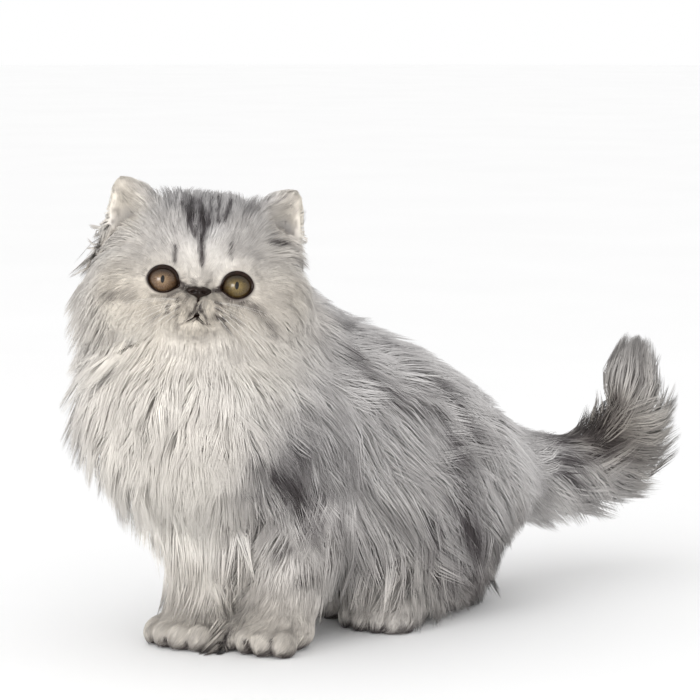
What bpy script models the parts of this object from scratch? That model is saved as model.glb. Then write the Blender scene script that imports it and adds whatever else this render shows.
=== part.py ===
"""A long-haired silver tabby cat in a low crouch, life size, as a still model.

The outer surface of the coat is built whole from rounded forms, then parted with thin flat cuts.
Metres, +Z up. The cat faces -Y, its left side is +X, and its soles stand on Z = 0.
"""

import math

import bmesh
import bpy
import numpy as np
from mathutils import Euler, Matrix, Vector

CM = 0.01

# Driving dimensions, in centimetres
EYE_SPACING = 5.0
EYEBALL_RADIUS = 1.1
EYE_DEPTH = -3.2
# The eye socket, turned about the eye's axis: how far forwards of the eyeball's middle, half width, half height
SOCKET = (
    (-1.15, 0.50, 0.50),
    (-0.9, 0.82, 0.82),
    (-0.55, 1.06, 1.06),
    (0.0, 1.20, 1.20),
    (0.45, 1.10, 1.10),
    (0.66, 0.94, 0.94),
    (0.80, 0.90, 0.84),
    (1.10, 1.12, 1.00),
    (1.7, 1.6, 1.4),
)
NOSE_PLACE = (0.0, -4.5, -0.6)
NOSE_LEATHER = (0.78, 0.55, 0.42)
EAR_CUP = 0.7
HEAD_CENTRE = (0.6, -3.4, 24.6)
HEAD_TURN_DEG = 38.0
HEAD_PITCH_DEG = -7.0
HEAD_ROLL_DEG = 5.0

# The middle of each paw on the floor, in centimetres
LEFT_FOREPAW = (2.5, 1.3)
RIGHT_FOREPAW = (-2.9, -0.4)
LEFT_HINDPAW = (3.9, 12.0)
RIGHT_HINDPAW = (-2.1, 13.6)

# Fineness of the surface, in metres and triangles
BODY_VOXEL = 0.005
HEAD_VOXEL = 0.003
BODY_TRIANGLES = 2600
HEAD_TRIANGLES = 3300
SMOOTH_STEPS = 5
CHAIN_STEPS = 9
PART_GAP = 0.0003
SOCKET_GAP = 0.0004
SOCKET_SIDES = 24
ON_THE_CUT = 1e-6
SHARP_DEG = 50
TOES = 4
TOE_SPACING = 1.16

COAT_WHITE = (0.62, 0.59, 0.57, 1.0)
COAT_GREY = (0.30, 0.29, 0.30, 1.0)
COAT_SMOKE = (0.16, 0.14, 0.14, 1.0)
IRIS_HAZEL = (0.22, 0.15, 0.05, 1.0)
NOSE_BROWN = (0.05, 0.03, 0.03, 1.0)


def clear_scene():
    for found in list(bpy.data.objects):
        bpy.data.objects.remove(found)


def material(name, colour, roughness):
    made = bpy.data.materials.new(name)
    made.use_nodes = True
    shader = made.node_tree.nodes["Principled BSDF"]
    shader.inputs["Base Color"].default_value = colour
    shader.inputs["Roughness"].default_value = roughness
    return made


def head_matrix():
    """Head space to the model's: x to the cat's left, -y out of the face, z up, zero between the eyes."""
    turn = Euler((math.radians(HEAD_PITCH_DEG), math.radians(HEAD_ROLL_DEG), 0.0), "YXZ").to_matrix()
    yaw = Matrix.Rotation(math.radians(HEAD_TURN_DEG), 3, "Z")
    return Matrix.Translation(Vector(HEAD_CENTRE)) @ (yaw @ turn).to_4x4()


def smooth_stations(stations, steps):
    """Rows between the stations, on a smooth curve through all of their numbers."""
    rows = np.array(stations, float)
    ends = np.vstack([2 * rows[0] - rows[1], rows, 2 * rows[-1] - rows[-2]])
    found = []
    for i in range(len(rows) - 1):
        a, b, c, d = ends[i : i + 4]
        for t in np.linspace(0, 1, steps, endpoint=False):
            found.append(
                0.5 * (2 * b + (c - a) * t + (2 * a - 5 * b + 4 * c - d) * t**2 + (3 * b - a - 3 * c + d) * t**3)
            )
    return found + [rows[-1]]


class Forms:
    """Rounded forms, in centimetres, gathered in one mesh before they are joined into a skin."""

    def __init__(self):
        self.mesh = bmesh.new()

    def ball(self, centre, radii, space=Matrix()):
        place = space @ Matrix.Translation(centre) @ Matrix.Diagonal((*radii, 1.0))
        bmesh.ops.create_icosphere(self.mesh, subdivisions=3, radius=1.0, matrix=place)

    def pair(self, centre, radii, space=Matrix()):
        for side in (-1, 1):
            self.ball((side * centre[0], centre[1], centre[2]), radii, space)

    def chain(self, stations, steps=CHAIN_STEPS, space=Matrix()):
        """Balls along a smooth line. A station is x, y, z and the half sizes along x, y and z."""
        for row in smooth_stations(stations, steps):
            self.ball(row[:3], row[3:], space)

    def surface(self, name, voxel, triangles):
        """One closed smooth surface round all the forms, in metres."""
        mesh = bpy.data.meshes.new(name)
        bmesh.ops.scale(self.mesh, vec=(CM, CM, CM), verts=self.mesh.verts)
        self.mesh.to_mesh(mesh)
        self.mesh.free()
        made = bpy.data.objects.new(name, mesh)
        bpy.context.scene.collection.objects.link(made)
        remesh = made.modifiers.new("join", "REMESH")
        remesh.mode = "VOXEL"
        remesh.voxel_size = voxel
        smooth = made.modifiers.new("soften", "SMOOTH")
        smooth.iterations = SMOOTH_STEPS
        joined = evaluated(made)
        faces = sum(len(face.vertices) - 2 for face in joined.polygons)
        bpy.data.meshes.remove(joined)
        decimate = made.modifiers.new("facet", "DECIMATE")
        decimate.ratio = min(1.0, triangles / faces)
        decimate.use_collapse_triangulate = True
        faceted = evaluated(made)
        bpy.data.objects.remove(made)
        return faceted


def evaluated(source):
    graph = bpy.context.evaluated_depsgraph_get()
    graph.update()
    return bpy.data.meshes.new_from_object(source.evaluated_get(graph))


def trunk(forms):
    forms.chain([
        (-0.6, -3.4, 16.6, 8.2, 6.6, 6.2),
        (0.3, 4.2, 15.3, 7.5, 6.0, 7.9),
        (0.8, 11.0, 13.3, 7.6, 6.0, 8.3),
        (1.4, 17.4, 11.1, 7.4, 6.0, 7.4),
        (2.0, 22.3, 9.1, 6.9, 5.2, 5.6),
        (2.6, 25.2, 8.5, 5.2, 3.8, 4.2),
    ])
    # The bib, which narrows between the forelegs
    forms.chain([
        (-1.1, -4.0, 14.6, 7.2, 5.4, 5.6),
        (-1.7, -2.0, 10.6, 5.8, 4.6, 4.6),
        (-1.4, 0.0, 8.0, 4.4, 3.6, 3.2),
    ])
    # Long belly hair that hangs beside the ribs
    for side in (-1, 1):
        forms.chain([
            (0.6 + 4.4 * side, 9.8, 8.2, 3.0, 3.0, 5.2),
            (1.0 + 4.6 * side, 15.4, 7.8, 3.2, 3.4, 4.9),
        ])


def neck(forms):
    forms.chain([
        (-1.7, -1.4, 21.2, 8.6, 6.4, 5.2),
        (-1.5, -1.7, 18.4, 8.9, 6.8, 5.4),
    ])
    # The mane behind the ears
    forms.chain([
        (-0.4, 2.0, 20.2, 7.0, 5.6, 5.5),
        (0.4, 4.8, 17.6, 6.9, 5.6, 6.5),
    ])


def foreleg(forms, x, y):
    """A foreleg whose paw is centred at x, y."""
    forms.chain([
        (1.06 * x, y + 3.4, 10.0, 3.2, 3.6, 3.4),
        (1.02 * x, y + 2.2, 6.2, 2.85, 2.9, 2.4),
        (0.99 * x, y + 1.5, 3.2, 2.6, 2.6, 2.0),
        (x, y + 0.6, 1.7, 2.35, 2.5, 1.7),
    ])
    paw(forms, x, y, 0.0)


def paw(forms, x, y, turn_deg):
    """The broad round foot and its four toes."""
    space = Matrix.Translation((x, y, 0)) @ Matrix.Rotation(math.radians(turn_deg), 4, "Z")
    forms.ball((0, 0.2, 1.2), (2.4, 2.7, 1.75), space)
    # The two middle toes reach furthest forwards
    for place in np.linspace(-1, 1, TOES):
        across = place * TOE_SPACING * (TOES - 1) / 2
        forward = -1.75 - 0.42 * (1 - place**2)
        forms.ball((across, forward, 0.75), (0.78, 1.05, 1.12), space)


def hind_leg(forms, side, x, y):
    """A folded hind leg whose paw is centred at x, y, with the thigh beside the loin."""
    forms.chain([
        (x + 0.6 * side, y + 9.0, 2.3, 2.1, 2.2, 2.6),
        (x + 0.5 * side, y + 6.4, 2.4, 2.1, 2.2, 1.9),
        (x + 0.2 * side, y + 2.6, 1.9, 2.2, 2.4, 1.5),
    ])
    forms.chain([
        (x + 2.1 * side, y + 4.0, 8.2, 3.1, 4.2, 4.3),
        (x + 1.9 * side, y + 7.0, 7.2, 3.4, 4.2, 4.3),
        (x + 1.0 * side, y + 8.0, 6.0, 2.7, 3.0, 3.2),
    ])
    paw(forms, x, y, 8.0 * side)


def tail(forms):
    forms.chain([
        (2.6, 26.4, 9.2, 3.8, 3.6, 3.4),
        (3.2, 30.6, 7.4, 3.1, 3.6, 4.0),
        (4.2, 36.0, 7.3, 2.7, 3.6, 3.5),
        (5.0, 40.2, 8.4, 2.6, 3.3, 3.8),
        (5.1, 41.8, 11.6, 2.6, 3.2, 3.4),
        (4.9, 41.6, 14.4, 2.3, 2.6, 2.5),
    ])
    # Long locks that fan out from the end of the tail: root height, reach and angle above the level
    for root, reach, angle_deg in ((6.8, 4.2, -34), (8.2, 5.0, -12), (9.8, 4.7, 12), (12.2, 3.6, 44)):
        angle = math.radians(angle_deg)
        tip = (6.3, 41.0 + reach * math.cos(angle), root + reach * math.sin(angle))
        forms.chain([(5.2, 40.6, root, 1.9, 2.0, 2.0), (*tip, 0.55, 0.55, 0.55)])


def head(forms):
    """The skull under its coat, in head space."""
    space = head_matrix()
    forms.ball((0, 0.5, 1.5), (5.3, 4.7, 4.5), space)
    forms.ball((0, -1.9, 2.3), (3.6, 2.4, 2.8), space)
    forms.pair((3.4, -0.7, -0.7), (3.7, 3.4, 3.3), space)
    forms.pair((4.7, 0.4, -1.4), (3.3, 3.4, 3.2), space)
    forms.pair((4.8, 0.8, 2.0), (2.2, 2.2, 2.2), space)
    forms.ball((0, -1.2, -1.9), (4.6, 3.0, 2.4), space)
    # Brow, bridge of the nose, whisker pads and chin
    forms.pair((2.1, -2.9, 1.7), (1.6, 1.3, 1.0), space)
    forms.ball((0, -3.5, 0.0), (0.95, 1.0, 1.25), space)
    forms.pair((1.0, -3.7, -1.55), (1.5, 1.35, 1.05), space)
    forms.ball((0, -3.4, -2.75), (1.4, 1.3, 0.9), space)
    forms.ball((0, -2.5, -2.4), (3.0, 1.9, 1.8), space)
    for side in (-1, 1):
        ear(forms, side, space)


def ear(forms, side, space):
    """A small round-tipped ear, leaning out, with its hollow facing forwards."""
    base, tip = Vector((4.5, 0.9, 3.9)), Vector((5.65, 0.5, 6.3))
    for along in np.linspace(0, 1, 8):
        middle = base.lerp(tip, along)
        half_width = 1.6 * (1 - along**1.7) + 0.2
        for across in np.linspace(-1, 1, 7):
            reach = across * half_width
            bow = EAR_CUP * half_width * (1 - across**2)
            centre = (middle.x + 0.86 * reach, middle.y + bow, middle.z - 0.5 * reach)
            forms.ball((side * centre[0], centre[1], centre[2]), (0.42, 0.34, 0.42), space)


def half(mesh, point, normal, name):
    """The part of a closed mesh on the side that the normal points to, closed again with a flat face."""
    cut = bmesh.new()
    cut.from_mesh(mesh)
    normal = Vector(normal).normalized()
    bmesh.ops.bisect_plane(
        cut,
        geom=cut.verts[:] + cut.edges[:] + cut.faces[:],
        dist=ON_THE_CUT,
        plane_co=Vector(point) + normal * PART_GAP / 2,
        plane_no=normal,
        clear_inner=True,
    )
    open_edges = [edge for edge in cut.edges if edge.is_boundary]
    if open_edges:
        bmesh.ops.triangle_fill(cut, edges=open_edges, use_beauty=True, normal=-normal)
    bmesh.ops.triangulate(cut, faces=cut.faces[:])
    bmesh.ops.recalc_face_normals(cut, faces=cut.faces[:])
    made = bpy.data.meshes.new(name)
    cut.to_mesh(made)
    cut.free()
    return made


def part(mesh, point, normal):
    """Both parts of a mesh, with a thin gap between them: first the one that the normal points to."""
    point = Vector(point) * CM
    return half(mesh, point, normal, "front"), half(mesh, point, -Vector(normal), "back")


def add_node(name, mesh, finish):
    """A visible object, one sub-part of the model."""
    mesh.name = name
    made = bpy.data.objects.new(name, mesh)
    bpy.context.scene.collection.objects.link(made)
    made.data.materials.clear()
    made.data.materials.append(finish)
    made.data.shade_smooth()
    made.data.set_sharp_from_angle(angle=math.radians(SHARP_DEG))
    return made


def sockets(head_node, finish):
    """Cuts a seat for each eye and for the nose, and fits the eyeballs and the nose leather in them."""
    space = Matrix.Scale(CM, 4) @ head_matrix()
    seats = []
    for side, name in ((-1, "eye_right"), (1, "eye_left")):
        place = space @ Matrix.Translation((side * EYE_SPACING / 2, EYE_DEPTH, 0))
        ball = primitive_ball(place, (EYEBALL_RADIUS,) * 3, 3)
        add_node(name, ball, finish["iris"])
        seats.append(socket_cutter(place))
    place = space @ Matrix.Translation(NOSE_PLACE)
    add_node("nose", primitive_ball(place, NOSE_LEATHER, 2), finish["nose"])
    seats.append(primitive_ball(place, [r + 1.5 * SOCKET_GAP / CM for r in NOSE_LEATHER], 3))
    for mesh in seats:
        cutter = bpy.data.objects.new("seat_cutter", mesh)
        bpy.context.scene.collection.objects.link(cutter)
        cutter.hide_render = True
        cutter.display_type = "WIRE"
        cut = head_node.modifiers.new("seat", "BOOLEAN")
        cut.operation = "DIFFERENCE"
        cut.object = cutter


def centre_on_floor():
    """Moves every mesh so that zero is the middle of the model's lowest level."""
    shown = [made for made in bpy.data.objects if not made.hide_render]
    corners = np.array([vertex.co for made in shown for vertex in made.data.vertices])
    low, high = corners.min(axis=0), corners.max(axis=0)
    middle = Vector(((low[0] + high[0]) / 2, (low[1] + high[1]) / 2, low[2]))
    for made in bpy.data.objects:
        made.data.transform(Matrix.Translation(-middle))


def socket_cutter(place):
    """Rings round the eye's axis, joined and closed at both ends."""
    cutter = bmesh.new()
    rings = []
    for forwards, half_width, half_height in SOCKET:
        angles = np.linspace(0, 2 * math.pi, SOCKET_SIDES, endpoint=False)
        rings.append([
            cutter.verts.new(place @ Vector((half_width * math.cos(a), -forwards, half_height * math.sin(a))))
            for a in angles
        ])
    for near, far in zip(rings, rings[1:]):
        for i in range(SOCKET_SIDES):
            j = (i + 1) % SOCKET_SIDES
            cutter.faces.new((near[i], near[j], far[j], far[i]))
    for ring in (rings[0], rings[-1]):
        cutter.faces.new(ring)
    bmesh.ops.triangulate(cutter, faces=cutter.faces[:])
    bmesh.ops.recalc_face_normals(cutter, faces=cutter.faces[:])
    mesh = bpy.data.meshes.new("socket")
    cutter.to_mesh(mesh)
    cutter.free()
    return mesh


def primitive_ball(place, radii, subdivisions):
    ball = bmesh.new()
    bmesh.ops.create_icosphere(
        ball, subdivisions=subdivisions, radius=1.0, matrix=place @ Matrix.Diagonal((*radii, 1.0))
    )
    mesh = bpy.data.meshes.new("ball")
    ball.to_mesh(mesh)
    ball.free()
    return mesh


def head_and_neck(voxel, triangles):
    forms = Forms()
    neck(forms)
    head(forms)
    return forms.surface("head", voxel, triangles)


def whole_cat(voxel, triangles):
    forms = Forms()
    trunk(forms)
    neck(forms)
    foreleg(forms, *LEFT_FOREPAW)
    foreleg(forms, *RIGHT_FOREPAW)
    hind_leg(forms, 1, *LEFT_HINDPAW)
    hind_leg(forms, -1, *RIGHT_HINDPAW)
    tail(forms)
    head(forms)
    return forms.surface("cat", voxel, triangles)


def main():
    clear_scene()
    finish = {
        "white": material("white coat", COAT_WHITE, 0.9),
        "grey": material("grey coat", COAT_GREY, 0.9),
        "smoke": material("smoke coat", COAT_SMOKE, 0.9),
        "iris": material("eye", IRIS_HAZEL, 0.1),
        "nose": material("nose leather", NOSE_BROWN, 0.4),
    }
    # The head is cut from a finer surface of the same forms than the body is
    head_space = head_matrix()
    throat = head_space @ Vector((0, 0.6, -3.6))
    nape = (head_space.to_3x3() @ Vector((0, -0.42, 1.0))).normalized()
    fine, _ = part(head_and_neck(HEAD_VOXEL, HEAD_TRIANGLES), throat, nape)
    _, body = part(whole_cat(BODY_VOXEL, BODY_TRIANGLES), throat, nape)

    for side, name in ((-1, "ear_right"), (1, "ear_left")):
        root = head_space @ Vector((side * 4.75, 0, 4.35))
        outwards = head_space.to_3x3() @ Vector((side * 0.62, 0, 0.8))
        ear_mesh, fine = part(fine, root, outwards)
        add_node(name, ear_mesh, finish["white"])
    head_node = add_node("head", fine, finish["white"])
    sockets(head_node, finish)

    tail_mesh, body = part(body, (2.8, 28.2, 8.6), (0.2, 1, -0.15))
    tail_end, tail_start = part(tail_mesh, (4.2, 34.0, 7), (0.25, 1, 0))
    tail_tip, tail_middle = part(tail_end, (5.6, 40.0, 9), (0.1, 0.62, 0.78))
    add_node("tail_base", tail_start, finish["grey"])
    add_node("tail_middle", tail_middle, finish["smoke"])
    add_node("tail_tip", tail_tip, finish["grey"])

    hind, fore = part(body, (0, 6.2, 0), (0, 1, -0.2))
    _, soles_cut = part(fore, (0, 0, 0), (0, 0, -1))
    upper, limbs = part(soles_cut, (0, 0, 6.2), (0, 0.25, 1))
    for side_limbs, side in zip(part(limbs, (-0.25, 0, 0), (1, -0.08, 0)), ("left", "right")):
        leg, foot = part(side_limbs, (0, 0, 2.9), (0, 0, 1))
        add_node("foreleg_" + side, leg, finish["white"])
        add_node("forepaw_" + side, foot, finish["white"])
    ruff, chest = part(upper, (0, 2.5, 16.6), (0, -0.5, 1))
    add_node("neck", ruff, finish["white"])
    add_node("chest", chest, finish["white"])

    _, hind = part(hind, (0, 0, 0), (0, 0, -1))
    quarters, feet = part(hind, (0, 0, 2.6), (0, 0, 1))
    for foot, side in zip(part(feet, (0.8, 0, 0), (1, 0, 0)), ("left", "right")):
        add_node("hindpaw_" + side, foot, finish["grey"])
    rump, abdomen = part(quarters, (0, 15.6, 0), (0, 1, 0))
    add_node("abdomen", abdomen, finish["grey"])
    left_thigh, rump = part(rump, (5.4, 18, 0), (1, -0.05, 0.1))
    right_thigh, rump = part(rump, (-2.6, 18, 0), (-1, -0.05, 0.1))
    add_node("thigh_left", left_thigh, finish["grey"])
    add_node("thigh_right", right_thigh, finish["grey"])
    add_node("rump", rump, finish["grey"])
    centre_on_floor()


main()
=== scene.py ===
"""A long-haired silver tabby cat in a low crouch, life size, as a still museum model.

The skin is one surface round rounded forms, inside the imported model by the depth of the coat. The coat is
made of closed tapered locks that start on the skin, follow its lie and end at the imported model's surface.
Metres, +Z up; the cat faces -Y and its left side is +X. Body places are in centimetres from the floor
midway between the forepaws. Head places are in centimetres from between the eyes: x to the cat's left, -y
out of the face, z up.
"""

import math

import bpy
import numpy as np
from mathutils import Matrix, Vector
from mathutils.bvhtree import BVHTree
from mathutils.kdtree import KDTree


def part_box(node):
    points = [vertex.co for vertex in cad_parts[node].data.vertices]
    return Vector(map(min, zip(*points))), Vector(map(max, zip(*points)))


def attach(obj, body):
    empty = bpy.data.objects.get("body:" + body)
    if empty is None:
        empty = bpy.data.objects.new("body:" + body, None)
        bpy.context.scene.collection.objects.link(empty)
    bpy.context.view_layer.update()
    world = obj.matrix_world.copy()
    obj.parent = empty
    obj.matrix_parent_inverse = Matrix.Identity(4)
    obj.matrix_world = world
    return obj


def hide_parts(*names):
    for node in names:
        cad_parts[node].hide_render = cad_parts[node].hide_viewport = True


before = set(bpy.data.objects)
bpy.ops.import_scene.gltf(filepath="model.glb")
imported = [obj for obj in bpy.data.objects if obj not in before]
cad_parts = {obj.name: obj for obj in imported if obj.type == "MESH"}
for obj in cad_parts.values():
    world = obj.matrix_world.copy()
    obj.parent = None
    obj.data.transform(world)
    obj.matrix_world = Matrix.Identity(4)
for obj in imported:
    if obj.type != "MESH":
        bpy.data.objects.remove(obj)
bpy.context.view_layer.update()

CM = 0.01
MM = 0.001
rng = np.random.default_rng(11)

# The floor midway between the forepaws, in metres
PAWS = Vector((0.0054, -0.1806, 0.0))

# The camera: how it sees the paws' place, in a frame of 700 pixels a side
FRAME_PX = 700
FOCAL_PX = 3000
PAWS_PX = (229, 646)
VIEW_AZIMUTH_DEG = 38.0
VIEW_ELEVATION_DEG = 7.0
VIEW_DISTANCE = 2.0

# The soft boxes: their distances in metres from the body's middle, their sizes in metres and their watts
BODY_MIDDLE = Vector((0, -0.05, 0.16))
KEY_TURN = 0.78
KEY_DISTANCE = 2.1
KEY_RISE = 0.35
KEY_SIZE, KEY_POWER = (0.9, 0.9), 14
CATCHLIGHT_SIZE, CATCHLIGHT_POWER = (0.8, 0.8), 80
LOW_AHEAD, LOW_ACROSS, LOW_RISE, LOW_DROP = 1.9, 0.3, 0.05, 0.08
LOW_SIZE, LOW_POWER = (2.0, 0.4), 13

FLESH = [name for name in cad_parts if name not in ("eye_left", "eye_right", "nose")]

# The eyes, nose and forelegs' paws, and how far the ears sit from the mirrored place
EYE_X = 2.36
EYE_Y = -3.2
EYEBALL_RADIUS = 1.1
NOSE = (0.0, -4.5, -0.6)
LID_OPENING = (0.87, 0.76)
RIM_HALF_WIDTH = 0.090
FOREPAW_LEFT = (2.75, 1.45)
FOREPAW_RIGHT = (-2.9, -0.4)
HINDPAW_LEFT = (3.9, 12.0)
HINDPAW_RIGHT = (-2.1, 13.6)
EAR_SIDEWAYS = -0.28
# The face sits a little to the cat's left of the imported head's middle
FACE_SIDEWAYS = 0.2
# The pupil's half sizes on the iris map, whose whole width is the eyeball's
PUPIL_HALF = (0.058, 0.118)
# The mouth in head space: the cleft under the nose, then each lip, and their dark edges' thickness
MOUTH_LINES = (
    ((0.0, -0.95), (0.0, -1.5), (-0.02, -2.02)),
    ((-0.02, -2.0), (0.28, -2.28), (0.62, -2.52), (1.0, -2.62)),
    ((-0.02, -2.0), (-0.32, -2.26), (-0.66, -2.48), (-1.04, -2.56)),
)
LIP_THICKNESS = (0.085, 0.115, 0.115)
WHISKER_ROWS = 4
WHISKERS_IN_ROW = 3
WHISKER_THICKNESS_MM = 0.075

# Fineness
OUTER_VOXEL = 0.003
SKIN_VOXEL = 0.0026
COAT_LOCKS = 99000
MOST_TRIANGLES = 190000
BAKE_PATCH = 0.003

# The coat: how many locks lie together, and a lock's stations and its width at each, as a share
TUFT_LOCKS = 44
WISP_LOCKS = 8
STATIONS = 5
LOCK_PROFILE = np.array([0.55, 1.0, 0.88, 0.55, 0.0])
# The stations that locks use, by their length in mm
USED_BY_LENGTH = ((9, 99, (0, 1, 2, 4)), (0, 9, (0, 2, 4)))
DEEPEST_COAT = 0.07
THINNEST_COAT_MM = 1.2

# The coat's colour from its lightest to its darkest hair, and what warm hair is tinted with
SILVER_TO_BLACK = (
    (0.0, "#f7f5f3"),
    (0.25, "#d2cfce"),
    (0.5, "#979494"),
    (0.75, "#575254"),
    (1.0, "#262120"),
)
CREAM = "#faf1de"


def linear(hex_colour):
    """An sRGB hex value as a linear colour."""
    channels = [int(hex_colour[i : i + 2], 16) / 255 for i in (1, 3, 5)]
    return (*(c / 12.92 if c <= 0.04045 else ((c + 0.055) / 1.055) ** 2.4 for c in channels), 1.0)


def head_space():
    """Head places in centimetres to the model's metres, worked out from the eyes and the nose."""
    left, right, nose = ((sum(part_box(name), Vector()) / 2) for name in ("eye_left", "eye_right", "nose"))
    across = (left - right).normalized()
    between = (left + right) / 2
    ahead = nose - between
    ahead = (ahead - across * ahead.dot(across)).normalized()
    third = across.cross(ahead)
    drop, reach = Vector((NOSE[1] - EYE_Y, NOSE[2])).normalized()
    back = ahead * drop - third * reach
    up = ahead * reach + third * drop
    turned = Matrix((across, back, up)).transposed().to_4x4()
    middle = between - back * EYE_Y * CM + across * FACE_SIDEWAYS * CM
    return Matrix.Translation(middle) @ turned @ Matrix.Scale(CM, 4)


HEAD = head_space()
BODY = Matrix.Translation(PAWS) @ Matrix.Scale(CM, 4)


def view_axes():
    """The camera's right, up and ahead."""
    azimuth, elevation = math.radians(VIEW_AZIMUTH_DEG), math.radians(VIEW_ELEVATION_DEG)
    level = math.cos(elevation)
    ahead = Vector((-math.sin(azimuth) * level, math.cos(azimuth) * level, -math.sin(elevation)))
    right = Vector((math.cos(azimuth), math.sin(azimuth), 0))
    return right, right.cross(ahead), ahead


RIGHT, UP, AHEAD = view_axes()


def sight(px, py):
    """The line of sight through a pixel, one unit deep."""
    across = (px - FRAME_PX / 2) / FOCAL_PX
    rise = (FRAME_PX / 2 - py) / FOCAL_PX
    return AHEAD + RIGHT * across + UP * rise


CAMERA_PLACE = PAWS - sight(*PAWS_PX) * VIEW_DISTANCE

# How the hair lies: a place, how far its hair's habit reaches, the way the hair points, its length in mm.
# Head guides are mirrored to the other side unless they are on the middle.
HEAD_LIE = (
    ((0.0, -3.6, 3.2), 1.6, (0.0, 0.3, 1.0), 8),
    ((0.0, -1.6, 5.6), 1.8, (0.0, 0.7, 0.7), 13),
    ((0.0, 1.4, 6.0), 2.0, (0.0, 1.0, 0.1), 19),
    ((2.6, -3.0, 3.4), 1.6, (0.35, 0.2, 1.0), 10),
    ((3.2, -0.8, 4.9), 1.2, (0.3, 0.1, 1.0), 20),
    ((2.4, 0.3, 5.4), 1.0, (0.1, 0.0, 1.0), 25),
    ((4.9, -0.8, 2.8), 1.8, (0.8, 0.4, 0.5), 15),
    ((4.2, -3.0, 0.2), 1.2, (1.0, 0.4, -0.1), 9),
    ((1.2, -4.6, -1.5), 0.9, (0.7, 0.2, -0.7), 5),
    ((2.6, -4.0, -2.0), 1.2, (0.7, 0.3, -0.8), 9),
    ((0.0, -4.4, -2.9), 0.9, (0.0, 0.2, -1.0), 6),
    ((0.0, -3.4, -4.2), 1.6, (0.0, -0.1, -1.0), 26),
    ((4.9, -2.4, -0.9), 1.8, (0.8, 0.5, -0.5), 20),
    ((4.6, -2.2, -3.2), 1.8, (0.5, 0.1, -0.9), 30),
    ((6.2, 0.2, -0.8), 2.2, (0.7, 0.5, -0.7), 40),
    ((5.6, 1.8, 2.0), 1.8, (0.3, 0.9, -0.6), 20),
    ((6.0, 0.8, 2.7), 1.0, (0.25, 0.6, -0.8), 8),
    ((6.2, 1.0, 3.8), 0.7, (0.2, 0.6, -0.2), 5),
    ((3.0, 3.6, 3.0), 2.2, (0.2, 0.9, -0.5), 30),
    ((0.0, 4.4, 2.0), 2.2, (0.0, 0.8, -0.7), 34),
    ((4.8, 0.2, 5.2), 0.8, (0.8, -0.3, 0.45), 9),
    ((5.0, -0.1, 4.2), 0.7, (0.9, -0.3, 0.15), 9),
    ((5.9, 0.4, 4.2), 0.6, (0.3, 0.4, 0.6), 6),
    ((5.1, 1.9, 5.0), 1.0, (0.35, 0.1, 0.9), 9),
    ((5.6, 0.6, 6.2), 0.8, (0.3, 0.0, 0.9), 5),
    ((3.9, 0.3, 4.8), 0.7, (0.8, -0.2, 0.5), 13),
)
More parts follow.
